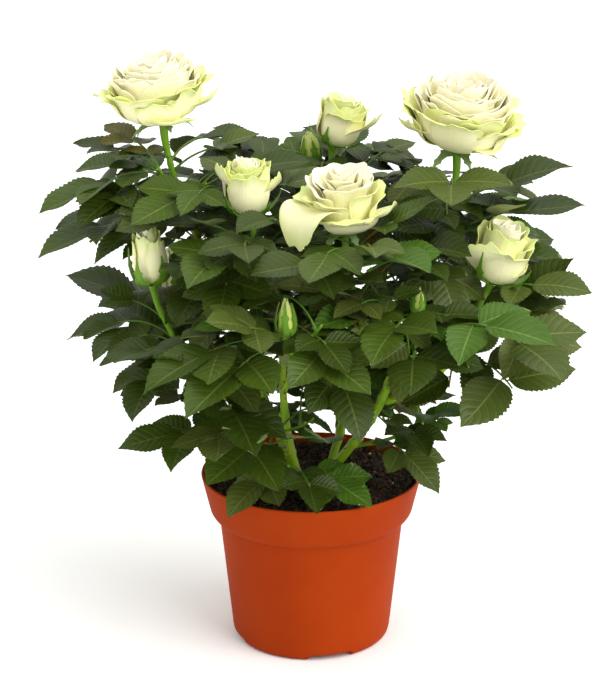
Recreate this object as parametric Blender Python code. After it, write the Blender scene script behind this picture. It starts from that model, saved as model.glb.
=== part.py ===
"""Potted garden rose: a bushy patio rose in a round tapered pot, filled with compost.

Metres, +Z up. The origin is on the pot's axis at its underside. Canes rise from the compost, boughs
fork from them, and each bough carries one shoot: a mass of pinnate leaves on one stem. Most shoots end
in a bloom or a bud on its own stalk. Lengths below are in millimetres and are scaled once, at the mesh.
"""
import math
import random

import bmesh
import bpy
import numpy as np
from mathutils import Vector
from mathutils.bvhtree import BVHTree

MM = 0.001
CLEAR = 0.3  # gap left between pieces that touch
UP = np.array([0.0, 0.0, 1.0])

# Pot: moulded, with a tapered collar and a foot ring that is notched for drainage
POT_RIM_RADIUS = 60.0
POT_HEIGHT = 94.0
COLLAR_FOOT_RADIUS = 55.2
COLLAR_FOOT_Z = 73.4
BODY_TOP_RADIUS = 50.3
BODY_TOP_Z = 69.6
BODY_FOOT_RADIUS = 43.3
POT_WALL = 1.2
FOOT_RING_OUTER = 40.5
FOOT_RING_INNER = 36.0
FOOT_HEIGHT = 3.8
NOTCH_Z = 3.3
POT_SIDES = 36
NOTCHES = 4
NOTCH_STEPS = 3  # pot sides that each notch spans
NOTCH_START = 27  # pot side at which the front notch begins
BODY_EDGE_Z = 1.5  # height of the body's lower edge, outside the foot ring
STEP_IN = 1.6  # how far under the collar the body stops

# Compost
SOIL_Z = 89.0
SOIL_FLAT_RADIUS = 34.0
SOIL_SWELL = 1.6
SOIL_SIDES = 20

# Leaves: pinnate, with a pair count, each leaflet a thin ovate blade
LEAF_TURN = 137.5  # degrees from each leaf to the next round a shoot
LEAF_RISE = 34.0
LEAF_DROOP = 46.0
FRONT_DROOP = 24.0  # how much more a leaf that points forward or back hangs
LEAF_LENGTH = 55.0
TERMINAL_LENGTH = 45.0
UPPER_SHARE = 0.84
LOWER_SHARE = 0.6
WIDTH_SHARE = 0.64
BLADE_THICKNESS = 0.62
SMALL_BLADE = 28.0  # leaflets shorter than this have four outline points
LIGHT = (0.0, 0.55, 0.8)  # how far leaves turn their faces to the near side, and up
TURN_OUTWARD = 0.45
RACHIS_RADIUS = 0.9
MERGES = (0.004, 0.0015, 0.0)  # tried in turn, to close up slivers after a union
LEAF_STEPS = 3
LEAF_SINK = 1.4  # how far the last leaflet's root is sunk in the rachis
LEAF_STAGGER = 1.1
TRIES = 26  # draws made for each leaf, of which the fullest is kept
SPACE_SHARE = 18.0  # how far past halfway to the next shoot a leaf may reach
LEAF_CLEAR = 0.5  # least gap between the leaves of different shoots
REACH_X = 145.0
REACH_Y = 122.0
TOP_OF_LEAVES = 285.0
LOW_UNDERSIDE = (86.0, 80.0, 1.0)  # height, radius where it starts to rise, and its slope
CROWN_UNDERSIDE = (128.0, 92.0, 0.7)
FACE_DEPTH = 110.0  # how far before a bloom no leaf grows
BACK_HALF_Y = 60.0  # behind this, blooms look out backward and leaves turn to the back
NECK_SINK = 1.2  # how far a flower's stalk runs into its head

# Canes: foot on the compost, top, sideways bow, and radius at foot and top
CANES = {
    "cane_left": ((-5.0, -14.0), (-15.0, -24.0, 162.0), (-4.0, 0.0), 2.3, 1.9),
    "cane_right": ((6.0, -1.0), (44.0, -14.0, 160.0), (7.0, 0.0), 2.7, 2.1),
    "cane_back_left": ((-9.0, 12.0), (-34.0, 24.0, 168.0), (-5.0, 2.0), 2.4, 1.9),
    "cane_back_right": ((10.0, 15.0), (26.0, 36.0, 166.0), (4.0, 5.0), 2.4, 1.9),
}

# Boughs: the cane each leaves, where along it (1 is its tip), its own tip, and radius at foot and tip
BOUGHS = {
    "bough_left_bud": ("cane_left", 0.62, (-49.0, -30.0, 150.0), 1.6, 1.4),
    "bough_left_middle": ("cane_left", 1.0, (-25.0, -26.0, 190.0), 1.7, 1.4),
    "bough_front": ("cane_left", 0.84, (-10.0, -48.0, 174.0), 1.5, 1.3),
    "bough_right_top": ("cane_right", 1.0, (58.0, -6.0, 196.0), 1.9, 1.6),
    "bough_right_bloom": ("cane_right", 0.74, (72.0, -20.0, 162.0), 1.8, 1.5),
    "bough_centre": ("cane_right", 0.56, (27.0, -34.0, 172.0), 1.6, 1.4),
    "bough_right_bud": ("cane_right", 0.86, (52.0, -42.0, 172.0), 1.4, 1.2),
    "bough_left_top": ("cane_back_left", 1.0, (-52.0, 16.0, 204.0), 1.7, 1.5),
    "bough_back_left": ("cane_back_left", 0.4, (-48.0, 50.0, 132.0), 1.6, 1.4),
    "bough_middle_top": ("cane_back_right", 1.0, (16.0, 36.0, 204.0), 1.7, 1.4),
    "bough_back": ("cane_back_right", 0.34, (7.0, 58.0, 124.0), 1.6, 1.4),
    "bough_back_right": ("cane_back_right", 0.82, (56.0, 48.0, 178.0), 1.6, 1.4),
}

# Shoots: the limb each grows from, where along it, its tip, its stem radius at foot and tip, how many
# leaves it has, the leaf size, the turn of its first leaf in degrees, and its seed
SHOOTS = {
    "leaves_left_bud": ("bough_left_bud", 1.0, (-73.0, -24.0, 180.0), 1.35, 1.2, 6, 0.9, 169, 8011),
    "leaves_left_middle": ("bough_left_middle", 1.0, (-29.5, -25.0, 233.0), 1.3, 1.1, 7, 0.9, 237, 8022),
    "leaves_front": ("bough_front", 1.0, (-12.0, -76.0, 192.0), 1.2, 1.0, 7, 0.9, 288, 8033),
    "leaves_right_top": ("bough_right_top", 1.0, (75.0, 6.0, 250.0), 1.5, 1.35, 8, 1.0, 336, 8044),
    "leaves_right_bloom": ("bough_right_bloom", 1.0, (87.0, -18.0, 191.0), 1.4, 1.3, 6, 1.1, 294, 8055),
    "leaves_centre": ("bough_centre", 1.0, (18.0, -40.0, 230.0), 1.35, 1.2, 7, 0.9, 290, 8066),
    "leaves_right_bud": ("bough_right_bud", 1.0, (53.5, -52.0, 196.0), 1.1, 0.9, 5, 0.85, 235, 8077),
    "leaves_left_top": ("bough_left_top", 1.0, (-75.0, 8.0, 268.0), 1.45, 1.3, 8, 1.0, 130, 8088),
    "leaves_back_left": ("bough_back_left", 1.0, (-68.0, 76.0, 160.0), 1.35, 1.2, 6, 1.0, 77, 8099),
    "leaves_middle_top": ("bough_middle_top", 1.0, (11.0, 35.0, 258.0), 1.35, 1.2, 7, 0.95, 61, 8110),
    "leaves_back": ("bough_back", 1.0, (4.0, 87.0, 150.0), 1.35, 1.2, 6, 1.0, 123, 8121),
    "leaves_back_right": ("bough_back_right", 1.0, (68.0, 66.0, 226.0), 1.35, 1.2, 7, 1.0, 34, 8132),
    "leaves_inner_left": ("cane_back_left", 0.84, (-40.0, 10.0, 252.0), 1.3, 1.0, 8, 0.9, 206, 8187),
    "leaves_inner_right": ("cane_back_right", 0.9, (45.0, 18.0, 248.0), 1.3, 1.0, 8, 0.9, 291, 8198),
    "leaves_low_left": ("cane_left", 0.30, (-44.0, -30.0, 126.0), 1.2, 0.9, 4, 0.85, 252, 8143),
    "leaves_low_front": ("cane_left", 0.12, (-12.0, -38.0, 112.0), 1.1, 0.8, 4, 0.62, 223, 8154),
    "leaves_low_right": ("cane_right", 0.34, (62.0, -4.0, 126.0), 1.1, 0.9, 3, 0.6, 348, 8165),
    "leaves_low_back": ("cane_back_right", 0.25, (16.0, 48.0, 124.0), 1.2, 0.9, 4, 0.85, 92, 8176),
}

# Blooms: the shoot each grows from, where along it, where its base is, which way it faces, its width,
# height and how far it has opened (0 a tight bud, 1 full blown), its stalk's radius at the top, and its seed
BLOOMS = {
    "bloom_left_top": ("leaves_left_top", 1.0, (-77.5, 5, 289), (-0.16, -0.12, 1), 54, 32, 1.0, 2.4, 1),
    "bloom_right_top": ("leaves_right_top", 1.0, (76.5, 5, 274), (0.10, -0.20, 1), 60, 36, 1.0, 2.4, 2),
    "bloom_centre": ("leaves_centre", 1.0, (17, -40, 243), (-0.04, -0.22, 1), 49, 34, 0.7, 2.1, 3),
    "bloom_middle_top": ("leaves_middle_top", 1.0, (11.5, 35, 268.5), (0.30, -0.1, 1), 28, 29, 0.4, 1.9, 4),
    "bloom_left_middle": ("leaves_left_middle", 1.0, (-32, -25, 246), (-0.04, -0.1, 1), 30, 31, 0.4, 1.9, 5),
    "bud_left": ("leaves_left_bud", 1.0, (-82.5, -25, 208), (-0.10, 0, 1), 21, 31, 0.15, 1.8, 6),
    "bloom_right": ("leaves_right_bloom", 1.0, (94, -20, 208.5), (0.30, -0.1, 1), 36, 34, 0.45, 2.1, 7),
    "bud_front": ("leaves_front", 1.0, (-12.6, -80, 197.5), (0, 0, 1), 11.5, 19, 0.0, 1.3, 8),
    "bud_right": ("leaves_right_bud", 1.0, (53.8, -51, 200.5), (0.1, 0, 1), 8, 13, 0.0, 1.1, 9),
    "bloom_back": ("leaves_back", 1.0, (3, 94, 158), (0, 0.35, 1), 38, 30, 0.6, 1.9, 10),
    "bud_back_left": ("leaves_back_left", 1.0, (-76, 84, 168), (-0.2, 0.2, 1), 20, 28, 0.15, 1.7, 11),
    "bud_small": ("leaves_middle_top", 0.62, (0.5, 47, 256), (-0.1, 0, 1), 13, 16, 0.05, 1.3, 12),
}


def clear_scene():
    for ob in list(bpy.data.objects):
        bpy.data.objects.remove(ob, do_unlink=True)


def material(name, colour, roughness):
    mat = bpy.data.materials.new(name)
    mat.use_nodes = True
    shader = mat.node_tree.nodes["Principled BSDF"]
    shader.inputs["Base Color"].default_value = (*colour, 1.0)
    shader.inputs["Roughness"].default_value = roughness
    mat.diffuse_color = (*colour, 1.0)
    return mat


def make_object(name, verts, faces, mat=None, smooth=False):
    """A mesh object from millimetre vertices, with its faces turned outward."""
    mesh = bpy.data.meshes.new(name)
    mesh.from_pydata([tuple(float(c) * MM for c in v) for v in verts], [], faces)
    bm = bmesh.new()
    bm.from_mesh(mesh)
    bmesh.ops.recalc_face_normals(bm, faces=bm.faces)
    bmesh.ops.triangulate(bm, faces=bm.faces)
    bm.to_mesh(mesh)
    bm.free()
    mesh.polygons.foreach_set("use_smooth", [smooth] * len(mesh.polygons))
    ob = bpy.data.objects.new(name, mesh)
    if mat:
        mesh.materials.append(mat)
    bpy.context.scene.collection.objects.link(ob)
    return ob


def unit(v):
    v = np.asarray(v, float)
    return v / np.linalg.norm(v)


def bend(a, b, start_dir, end_dir, count):
    """Points on a cubic curve from a to b that sets off along start_dir and arrives along end_dir."""
    a = np.asarray(a, float)
    b = np.asarray(b, float)
    span = np.linalg.norm(b - a)
    c1 = a + unit(start_dir) * span * 0.36
    c2 = b - unit(end_dir) * span * 0.36
    t = np.linspace(0.0, 1.0, count)[:, None]
    return (1 - t) ** 3 * a + 3 * (1 - t) ** 2 * t * c1 + 3 * (1 - t) * t**2 * c2 + t**3 * b


def directions(path):
    step = np.gradient(path, axis=0)
    return step / np.linalg.norm(step, axis=1)[:, None]


def tube(path, radii, sides, flat_foot=False, heading=None):
    """A capped tube round a path. With flat_foot its first ring is level, as a cane cut at the ground.

    A heading squares the first ring to that direction, so that it faces the limb it grows from.
    """
    path = np.asarray(path, float)
    along = directions(path)
    if heading is not None:
        along[0] = heading
    side = unit(np.cross(along[0], [0.31, 0.95, 0.11]))
    verts = []
    for i, (p, d, r) in enumerate(zip(path, along, radii)):
        side = unit(side - d * np.dot(side, d))
        other = np.cross(d, side)
        for k in range(sides):
            angle = 2 * math.pi * k / sides
            v = p + r * (math.cos(angle) * side + math.sin(angle) * other)
            if flat_foot and i == 0:
                v = v - d * (v[2] - p[2]) / d[2]
            verts.append(v)
    faces = []
    for i in range(len(path) - 1):
        for k in range(sides):
            a = i * sides + k
            b = i * sides + (k + 1) % sides
            faces.append((a, b, b + sides, a + sides))
    faces.append(tuple(range(sides)))
    last = (len(path) - 1) * sides
    faces.append(tuple(range(last, last + sides)))
    return verts, faces


def turned(profile, sides, shape=None):
    """A solid turned from a profile that starts and ends on the axis. shape may move each point."""
    verts = []
    rings = []
    for j, (r, z) in enumerate(profile):
        if r == 0.0:
            rings.append([len(verts)])
            verts.append((0.0, 0.0, z))
            continue
        rings.append(list(range(len(verts), len(verts) + sides)))
        for k in range(sides):
            angle = 2 * math.pi * k / sides
            point = (r * math.cos(angle), r * math.sin(angle), z)
            verts.append(shape(j, k, point) if shape else point)
    faces = []
    for low, high in zip(rings, rings[1:]):
        for k in range(sides):
            n = (k + 1) % sides
            if len(low) == 1:
                faces.append((low[0], high[n], high[k]))
            elif len(high) == 1:
                faces.append((low[k], low[n], high[0]))
            else:
                faces.append((low[k], low[n], high[n], high[k]))
    return verts, faces


def wall_radius(z):
    """The pot's outer radius on its body at height z."""
    share = (z - FOOT_HEIGHT) / (BODY_TOP_Z - FOOT_HEIGHT)
    return BODY_FOOT_RADIUS + (BODY_TOP_RADIUS - BODY_FOOT_RADIUS) * share


def collar_radius(z):
    share = (z - COLLAR_FOOT_Z) / (POT_HEIGHT - COLLAR_FOOT_Z)
    return COLLAR_FOOT_RADIUS + (POT_RIM_RADIUS - COLLAR_FOOT_RADIUS) * share


def pot_profile():
    floor = FOOT_HEIGHT + POT_WALL
    step_out = COLLAR_FOOT_RADIUS - STEP_IN
    return [
        (0.0, FOOT_HEIGHT),
        (FOOT_RING_INNER - 0.6, FOOT_HEIGHT),
        (FOOT_RING_INNER, 0.0),
        (FOOT_RING_OUTER, 0.0),
        (BODY_FOOT_RADIUS - 0.7, BODY_EDGE_Z),
        (BODY_FOOT_RADIUS + 0.1, FOOT_HEIGHT + 0.8),
        (BODY_TOP_RADIUS, BODY_TOP_Z),
        (step_out, BODY_TOP_Z + 1.4),
        (COLLAR_FOOT_RADIUS, COLLAR_FOOT_Z),
        (POT_RIM_RADIUS, POT_HEIGHT - 0.7),
        (POT_RIM_RADIUS - 0.3, POT_HEIGHT),
        (POT_RIM_RADIUS - POT_WALL, POT_HEIGHT),
        (collar_radius(COLLAR_FOOT_Z + 1.4) - POT_WALL, COLLAR_FOOT_Z + 1.4),
        (step_out - POT_WALL, BODY_TOP_Z + 2.8),
        (BODY_TOP_RADIUS - POT_WALL, BODY_TOP_Z + 0.9),
        (wall_radius(floor + 1.5) - POT_WALL, floor + 1.5),
        (wall_radius(floor + 1.5) - POT_WALL - 1.6, floor),
        (0.0, floor),
    ]


def make_pot(mat):
    """Turned pot. The foot ring and the body's lower edge lift at the notches."""
    pitch = POT_SIDES // NOTCHES

    def notch(j, k, point):
        inside = (k - NOTCH_START) % pitch <= NOTCH_STEPS
        if inside and 0.0 <= point[2] <= BODY_EDGE_Z:
            return (point[0], point[1], NOTCH_Z + 0.2 * point[2])
        return point

    verts, faces = turned(pot_profile(), POT_SIDES, notch)
    return make_object("pot", verts, faces, mat, smooth=True)


def make_soil(mat):
    """Compost that fills the pot, a gap clear of its wall, level by the canes and uneven at the edge."""
    floor = FOOT_HEIGHT + POT_WALL + CLEAR
    gap = POT_WALL + CLEAR
    step_out = COLLAR_FOOT_RADIUS - STEP_IN
    edge = collar_radius(SOIL_Z) - gap - 0.2
    rng = random.Random(5)
    profile = [
        (0.0, floor),
        (wall_radius(floor + 1.5) - gap - 1.8, floor),
        (wall_radius(floor + 1.7) - gap, floor + 1.7),
        (BODY_TOP_RADIUS - gap, BODY_TOP_Z + 1.4),
        (step_out - gap - 0.3, BODY_TOP_Z + 3.4),
        (collar_radius(COLLAR_FOOT_Z + 2.0) - gap - 0.2, COLLAR_FOOT_Z + 2.0),
        (edge, SOIL_Z - 1.0),
        (edge * 0.86, SOIL_Z),
        (SOIL_FLAT_RADIUS, SOIL_Z),
        (0.0, SOIL_Z),
    ]

    def uneven(j, k, point):
        if j == 7:
            return (point[0], point[1], point[2] + rng.uniform(-SOIL_SWELL, SOIL_SWELL * 0.5))
        return point

    verts, faces = turned(profile, SOIL_SIDES, uneven)
    return make_object("soil", verts, faces, mat)


class Limb:
    """A tapering limb: its path, its radius along it, and its mesh sides."""

    def __init__(self, path, foot_radius, tip_radius, sides, heading=None):
        self.path = path
        self.heading = heading
        self.radii = np.linspace(foot_radius, tip_radius, len(path))
        self.sides = sides

    def solid(self, flat_foot=False):
        return tube(self.path, self.radii, self.sides, flat_foot, self.heading)

    def at(self, share):
        """Point, direction and radius at a share of the way along."""
        x = share * (len(self.path) - 1)
        i = min(int(x), len(self.path) - 2)
        f = x - i
        point = self.path[i] * (1 - f) + self.path[i + 1] * f
        radius = self.radii[i] * (1 - f) + self.radii[i + 1] * f
        return point, unit(self.path[i + 1] - self.path[i]), radius


def make_canes():
    limbs = {}
    for name, (foot, top, bow, r0, r1) in CANES.items():
        a = np.array([foot[0], foot[1], SOIL_Z + CLEAR])
        b = np.array(top)
        start = unit([b[0] - a[0] + bow[0] * 4, b[1] - a[1] + bow[1] * 4, (b[2] - a[2]) * 1.2])
        end = unit([b[0] - a[0] - bow[0] * 3, b[1] - a[1] - bow[1] * 3, (b[2] - a[2]) * 1.3])
        limbs[name] = Limb(bend(a, b, start, end, 7), r0, r1, 8)
    return limbs


def grow_from(parent, share, tip, r0, r1, count, sides, end_dir=None):
    """A limb that leaves its parent a gap clear: from its tip if share is 1, or else from its side."""
    point, along, radius = parent.at(share)
    tip = np.array(tip, float)
    if share >= 1.0:
        start = point + along * CLEAR
        start_dir = along
    else:
        away = tip - point
        away = unit(away - along * np.dot(away, along))
        start_dir = unit(away + along * 0.75)
        lean = float(np.dot(start_dir, along))
        start = point + away * (radius + CLEAR + r0 * lean)
    if end_dir is None:
        end_dir = unit(unit(tip - start) + UP * 0.55)
    return Limb(bend(start, tip, start_dir, end_dir, count), r0, r1, sides, start_dir)


def blade(root, along, normal, length, width):
    """An ovate leaflet: four or six outline points round a ridge, with a flat underside."""
    along = unit(along)
    across = unit(np.cross(along, normal))
    normal = np.cross(across, along)
    if length < SMALL_BLADE:
        outline = [(0.0, 0.0), (0.46, 0.5), (1.0, 0.0), (0.46, -0.5)]
        bottom = [(0, 3, 1), (1, 3, 2)]
    else:
        outline = [(0.0, 0.0), (0.36, 0.5), (0.72, 0.37), (1.0, 0.0), (0.72, -0.37), (0.36, -0.5)]
        bottom = [(0, 5, 1), (1, 5, 4), (1, 4, 2), (2, 4, 3)]
    verts = [root + along * s * length + across * w * width for s, w in outline]
    verts.append(root + along * length * 0.45 + normal * max(BLADE_THICKNESS, length / 70))
    top = [(k, (k + 1) % len(outline), len(outline)) for k in range(len(outline))]
    return np.array(verts), top + bottom


def leaf_plan(root, turn, rise, droop, length, size, pairs, roll, rng):
    """One pinnate leaf: its rachis path, and its leaflets as root, direction, normal, length, width.

    The rachis sets off at rise degrees above level, towards turn, and bends down by droop degrees.
    Each pair of leaflets is a little staggered, so that their roots sink into the rachis apart.
    """
    heading = np.array([math.cos(turn), math.sin(turn), 0.0])
    across = np.array([-heading[1], heading[0], 0.0])
    path = [np.array(root, float)]
    tilt = []
    for i in range(LEAF_STEPS):
        angle = math.radians(rise - droop * (i + 0.5) / LEAF_STEPS)
        tilt.append(angle)
        path.append(path[-1] + (heading * math.cos(angle) + UP * math.sin(angle)) * length / LEAF_STEPS)
    path = np.array(path)

    def frame(share):
        x = min(share * LEAF_STEPS, LEAF_STEPS - 0.001)
        i = int(x)
        angle = tilt[i]
        along = heading * math.cos(angle) + UP * math.sin(angle)
        normal = -heading * math.sin(angle) + UP * math.cos(angle)
        side = across * math.cos(roll) + normal * math.sin(roll)
        return path[i] + (path[i + 1] - path[i]) * (x - i), along, side, np.cross(along, side)

    leaflets = []
    _, along, side, normal = frame(1.0)
    tip_length = TERMINAL_LENGTH * size * rng.uniform(0.9, 1.1)
    aim = along + side * rng.uniform(-0.25, 0.25) - normal * rng.uniform(-0.1, 0.25)
    near_side = -1.0 if root[1] < BACK_HALF_Y else 1.0
    to_light = unit(heading * TURN_OUTWARD + np.array(LIGHT) * (1.0, near_side, 1.0))
    root = path[-1] - along * LEAF_SINK
    leaflets.append((root, aim, normal + to_light, tip_length, tip_length * WIDTH_SHARE))
    for place, share in [(0.86, UPPER_SHARE), (0.52, LOWER_SHARE)][:pairs]:
        for hand in (-1, 1):
            stagger = hand * LEAF_STAGGER / length
            spot, along, side, normal = frame(place + stagger)
            blade_length = tip_length * share * rng.uniform(0.9, 1.1)
            aim = side * hand * 0.88 + along * rng.uniform(0.3, 0.65) - normal * rng.uniform(-0.15, 0.3)
            tipped = normal + side * hand * rng.uniform(-0.1, 0.25) + to_light
            leaflets.append((spot, aim, tipped, blade_length, blade_length * WIDTH_SHARE))
    return path, leaflets


def distances(points, path):
    """Each point's distance from a path of straight pieces."""
    points = np.atleast_2d(points)
    best = np.full(len(points), 1e9)
    for a, b in zip(path[:-1], path[1:]):
        run = b - a
        t = np.clip((points - a) @ run / (run @ run), 0, 1)[:, None]
        best = np.minimum(best, np.linalg.norm(points - (a + t * run), axis=1))
    return best


class Space:
    """The room that one shoot's leaves keep to.

    Each point of a leaf is nearer its own shoot than any other, give or take SPACE_SHARE, within the
    bush's reach, above its underside, clear of the pot, and not before the face of a bloom.
    """

    def __init__(self, own, others, underside, faces):
        self.own = own
        self.others = others
        self.underside = underside
        self.faces = faces

    def holds(self, points):
        points = np.atleast_2d(points)
        if np.abs(points[:, 0]).max() > REACH_X or np.abs(points[:, 1]).max() > REACH_Y:
            return False
        radius = np.hypot(points[:, 0], points[:, 1])
        height, start, slope = self.underside
        below = points[:, 2] < height + slope * np.maximum(radius - start, 0.0)
        if points[:, 2].max() > TOP_OF_LEAVES or below.any():
            return False
        inside_pot = (radius < POT_RIM_RADIUS + 3) & (points[:, 2] < POT_HEIGHT + 2)
        if inside_pot.any():
            return False
        for centre, toward, size in self.faces:
            run = (points - centre) @ toward
            aside = np.linalg.norm(points - centre - run[:, None] * toward, axis=1)
            if ((run > 0) & (run < FACE_DEPTH) & (aside < size)).any():
                return False
        mine = distances(points, self.own) - SPACE_SHARE
        for other in self.others:
            if (mine > distances(points, other)).any():
                return False
        return True


def bloom_face(share, base, facing, width, height, opened, *_):
    """Where a bloom looks out of the bush: its middle, the way to the open side, and how wide."""
    middle = np.array(base) + unit(facing) * height * 0.5
    outward = -1.0 if base[1] < BACK_HALF_Y else 1.0
    return middle, unit([0.0, outward, 0.33]), width * 0.46


def tree_of(pieces):
    verts = []
    faces = []
    for v, f in pieces:
        base = len(verts)
        verts += [Vector(p) for p in v]
        faces += [tuple(i + base for i in face) for face in f]
    return BVHTree.FromPolygons(verts, faces, epsilon=0.0) if verts else None


def spread_samples(verts):
    """A blade's corners with points between each and its ridge."""
    ridge = verts[-1]
    return np.vstack([verts, (verts[:-1] + ridge) / 2, (verts[:-1] * 3 + ridge) / 4])


def draw_leaf(limb, k, count, size, first_turn, rng):
    """One leaf drawn at random for its place k on a shoot."""
    share = 0.05 + 0.93 * (k + rng.uniform(0.1, 0.8)) / count
    root, _, _ = limb.at(share)
    turn = math.radians(first_turn + LEAF_TURN * k + rng.uniform(-55, 55))
    lower = 1.0 - 0.3 * share**2
    rise = LEAF_RISE + 16 * share + rng.uniform(-20, 16)
    droop = LEAF_DROOP + FRONT_DROOP * abs(math.sin(turn)) + rng.uniform(-22, 22)
    length = LEAF_LENGTH * size * lower * rng.uniform(0.8, 1.15)
    pairs = 2 if share < 0.8 else 1
    roll = math.radians(rng.uniform(-16, 16))
    return leaf_plan(root, turn, rise, droop, length, size * lower, pairs, roll, rng)


def touches(verts, faces, samples, *trees):
    """True if a piece crosses what a tree holds, or comes too near it."""
    own = tree_of([(verts, faces)])
    for tree in trees:
        if tree is None:
            continue
        if tree.overlap(own):
            return True
        for point in samples:
            near = tree.find_nearest(Vector(point), LEAF_CLEAR)
            if near[0] is not None:
                return True
    return False


def fullest_leaf(limb, k, count, size, first_turn, rng, space, in_way, grown):
    """The fullest of several draws of leaf k: its stalk and those leaflets that have room, or nothing."""
    best = []
    best_area = 0.0
    for _ in range(TRIES):
        path, leaflets = draw_leaf(limb, k, count, size, first_turn, rng)
        stalk = tube(path, np.linspace(RACHIS_RADIUS, RACHIS_RADIUS * 0.75, len(path)), 3)
        ring_points = np.array(stalk[0])[3:]
        if not space.holds(ring_points) or touches(*stalk, ring_points, in_way):
            continue
        kept = []
        area = 0.0
        for leaflet in leaflets:
            verts, faces = blade(*leaflet)
            samples = spread_samples(verts)
            if not space.holds(samples) or touches(verts, faces, samples, in_way):
                continue
            if grown and grown.overlap(tree_of([(verts, faces)])):
                continue
            kept.append((verts, faces))
            area += leaflet[3] * leaflet[4]
        if area > best_area and len(kept) * 2 >= len(leaflets):
            best = [stalk] + kept
            best_area = area
    return best


def grow_leaves(shoots, stems, obstacles):
    """Every shoot's leaf pieces. The shoots take turns, a leaf at a time, so that none crowds another."""
    pieces = {name: [] for name in shoots}
    rngs = {name: random.Random(spec[-1]) for name, spec in SHOOTS.items()}
    most = max(spec[5] for spec in SHOOTS.values())
    faces = [bloom_face(*spec[1:]) for spec in BLOOMS.values()]
    spaces = {}
    for name, limb in shoots.items():
        others = [other.path for other_name, other in shoots.items() if other_name != name]
        underside = LOW_UNDERSIDE if "low" in name else CROWN_UNDERSIDE
        spaces[name] = Space(limb.path, others, underside, faces)
    for k in range(most):
        for name, (_, _, _, _, _, count, size, turn, _) in SHOOTS.items():
            if k >= count:
                continue
            in_way = list(obstacles)
            for other in shoots:
                if other != name:
                    in_way += [stems[other]] + pieces[other]
            trees = tree_of(in_way), tree_of(pieces[name])
            draw = (shoots[name], k, count, size, turn, rngs[name])
            pieces[name] += fullest_leaf(*draw, spaces[name], *trees)
    return pieces


def islands(bm):
    """The mesh's separate shells, each a list of faces."""
    left = set(bm.faces)
    shells = []
    while left:
        shell = [left.pop()]
        for face in shell:
            for edge in face.edges:
                for other in edge.link_faces:
                    if other in left:
                        left.remove(other)
                        shell.append(other)
        shells.append(shell)
    return shells


def shell_volume(shell):
    total = 0.0
    for face in shell:
        a = face.verts[0].co
        for u, v in zip(face.verts[1:], face.verts[2:]):
            total += a.dot(u.co.cross(v.co)) / 6
    return total


def tidy_union(mesh, merge):
    """Keep the largest outer shell: scraps are dropped, and hollows that fusing sealed are filled."""
    bm = bmesh.new()
    bm.from_mesh(mesh)
    if merge:
        bmesh.ops.remove_doubles(bm, verts=bm.verts, dist=merge)
        bmesh.ops.dissolve_degenerate(bm, edges=bm.edges, dist=merge)
    bmesh.ops.triangulate(bm, faces=bm.faces)
    shells = islands(bm)
    body = max(shells, key=shell_volume)
    spare = [face for shell in shells if shell is not body for face in shell]
    bmesh.ops.delete(bm, geom=spare, context="FACES")
    loose = [v for v in bm.verts if not v.link_faces]
    bmesh.ops.delete(bm, geom=loose, context="VERTS")
    sound = all(edge.is_manifold for edge in bm.edges)
    if sound or not merge:
        bm.to_mesh(mesh)
    bm.free()
    return sound


def fuse(name, base, pieces, mat):
    """One solid from a base piece and the pieces that root in it, by one union on a collection."""
    ob = make_object(name, *base, mat)
    group = bpy.data.collections.new(name + "_pieces")
    bpy.context.scene.collection.children.link(group)
    parts = []
    for i, (verts, faces) in enumerate(pieces):
        part = make_object(f"{name}_piece_{i}", verts, faces)
        bpy.context.scene.collection.objects.unlink(part)
        group.objects.link(part)
        part.hide_render = True
        part.display_type = "WIRE"
        parts.append(part)
    join = ob.modifiers.new("join", "BOOLEAN")
    join.operation = "UNION"
    join.operand_type = "COLLECTION"
    join.collection = group
    join.solver = "MANIFOLD"
    bpy.context.view_layer.update()
    applied = bpy.data.meshes.new_from_object(ob.evaluated_get(bpy.context.evaluated_depsgraph_get()))
    applied.name = name
    ob.modifiers.clear()
    ob.data = applied
    for part in parts:
        bpy.data.objects.remove(part, do_unlink=True)
    bpy.data.collections.remove(group)
    sound = any(tidy_union(applied, merge * MM) for merge in MERGES)
    applied.materials.clear()
    applied.materials.append(mat)
    if not sound:
        print("not sound", name)
    return ob


def bloom_profile(opened):
    """Width and height shares up the outside of a flower and over its top, from bud to full blown."""
    bud = [(0.22, 0.0), (0.72, 0.12), (1.0, 0.38), (0.92, 0.62), (0.55, 0.86), (0.28, 0.97)]
    half = [(0.18, 0.0), (0.66, 0.10), (0.96, 0.36), (1.0, 0.68), (0.80, 0.92), (0.44, 1.0)]
    full = [(0.14, 0.0), (0.52, 0.10), (0.92, 0.30), (1.0, 0.52), (0.80, 0.80), (0.42, 0.98)]
    low, high, share = (bud, half, opened * 2) if opened < 0.5 else (half, full, opened * 2 - 1)
    mixed = []
    for a, b in zip(low, high):
        mixed.append((a[0] * (1 - share) + b[0] * share, a[1] * (1 - share) + b[1] * share))
    return mixed


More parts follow.
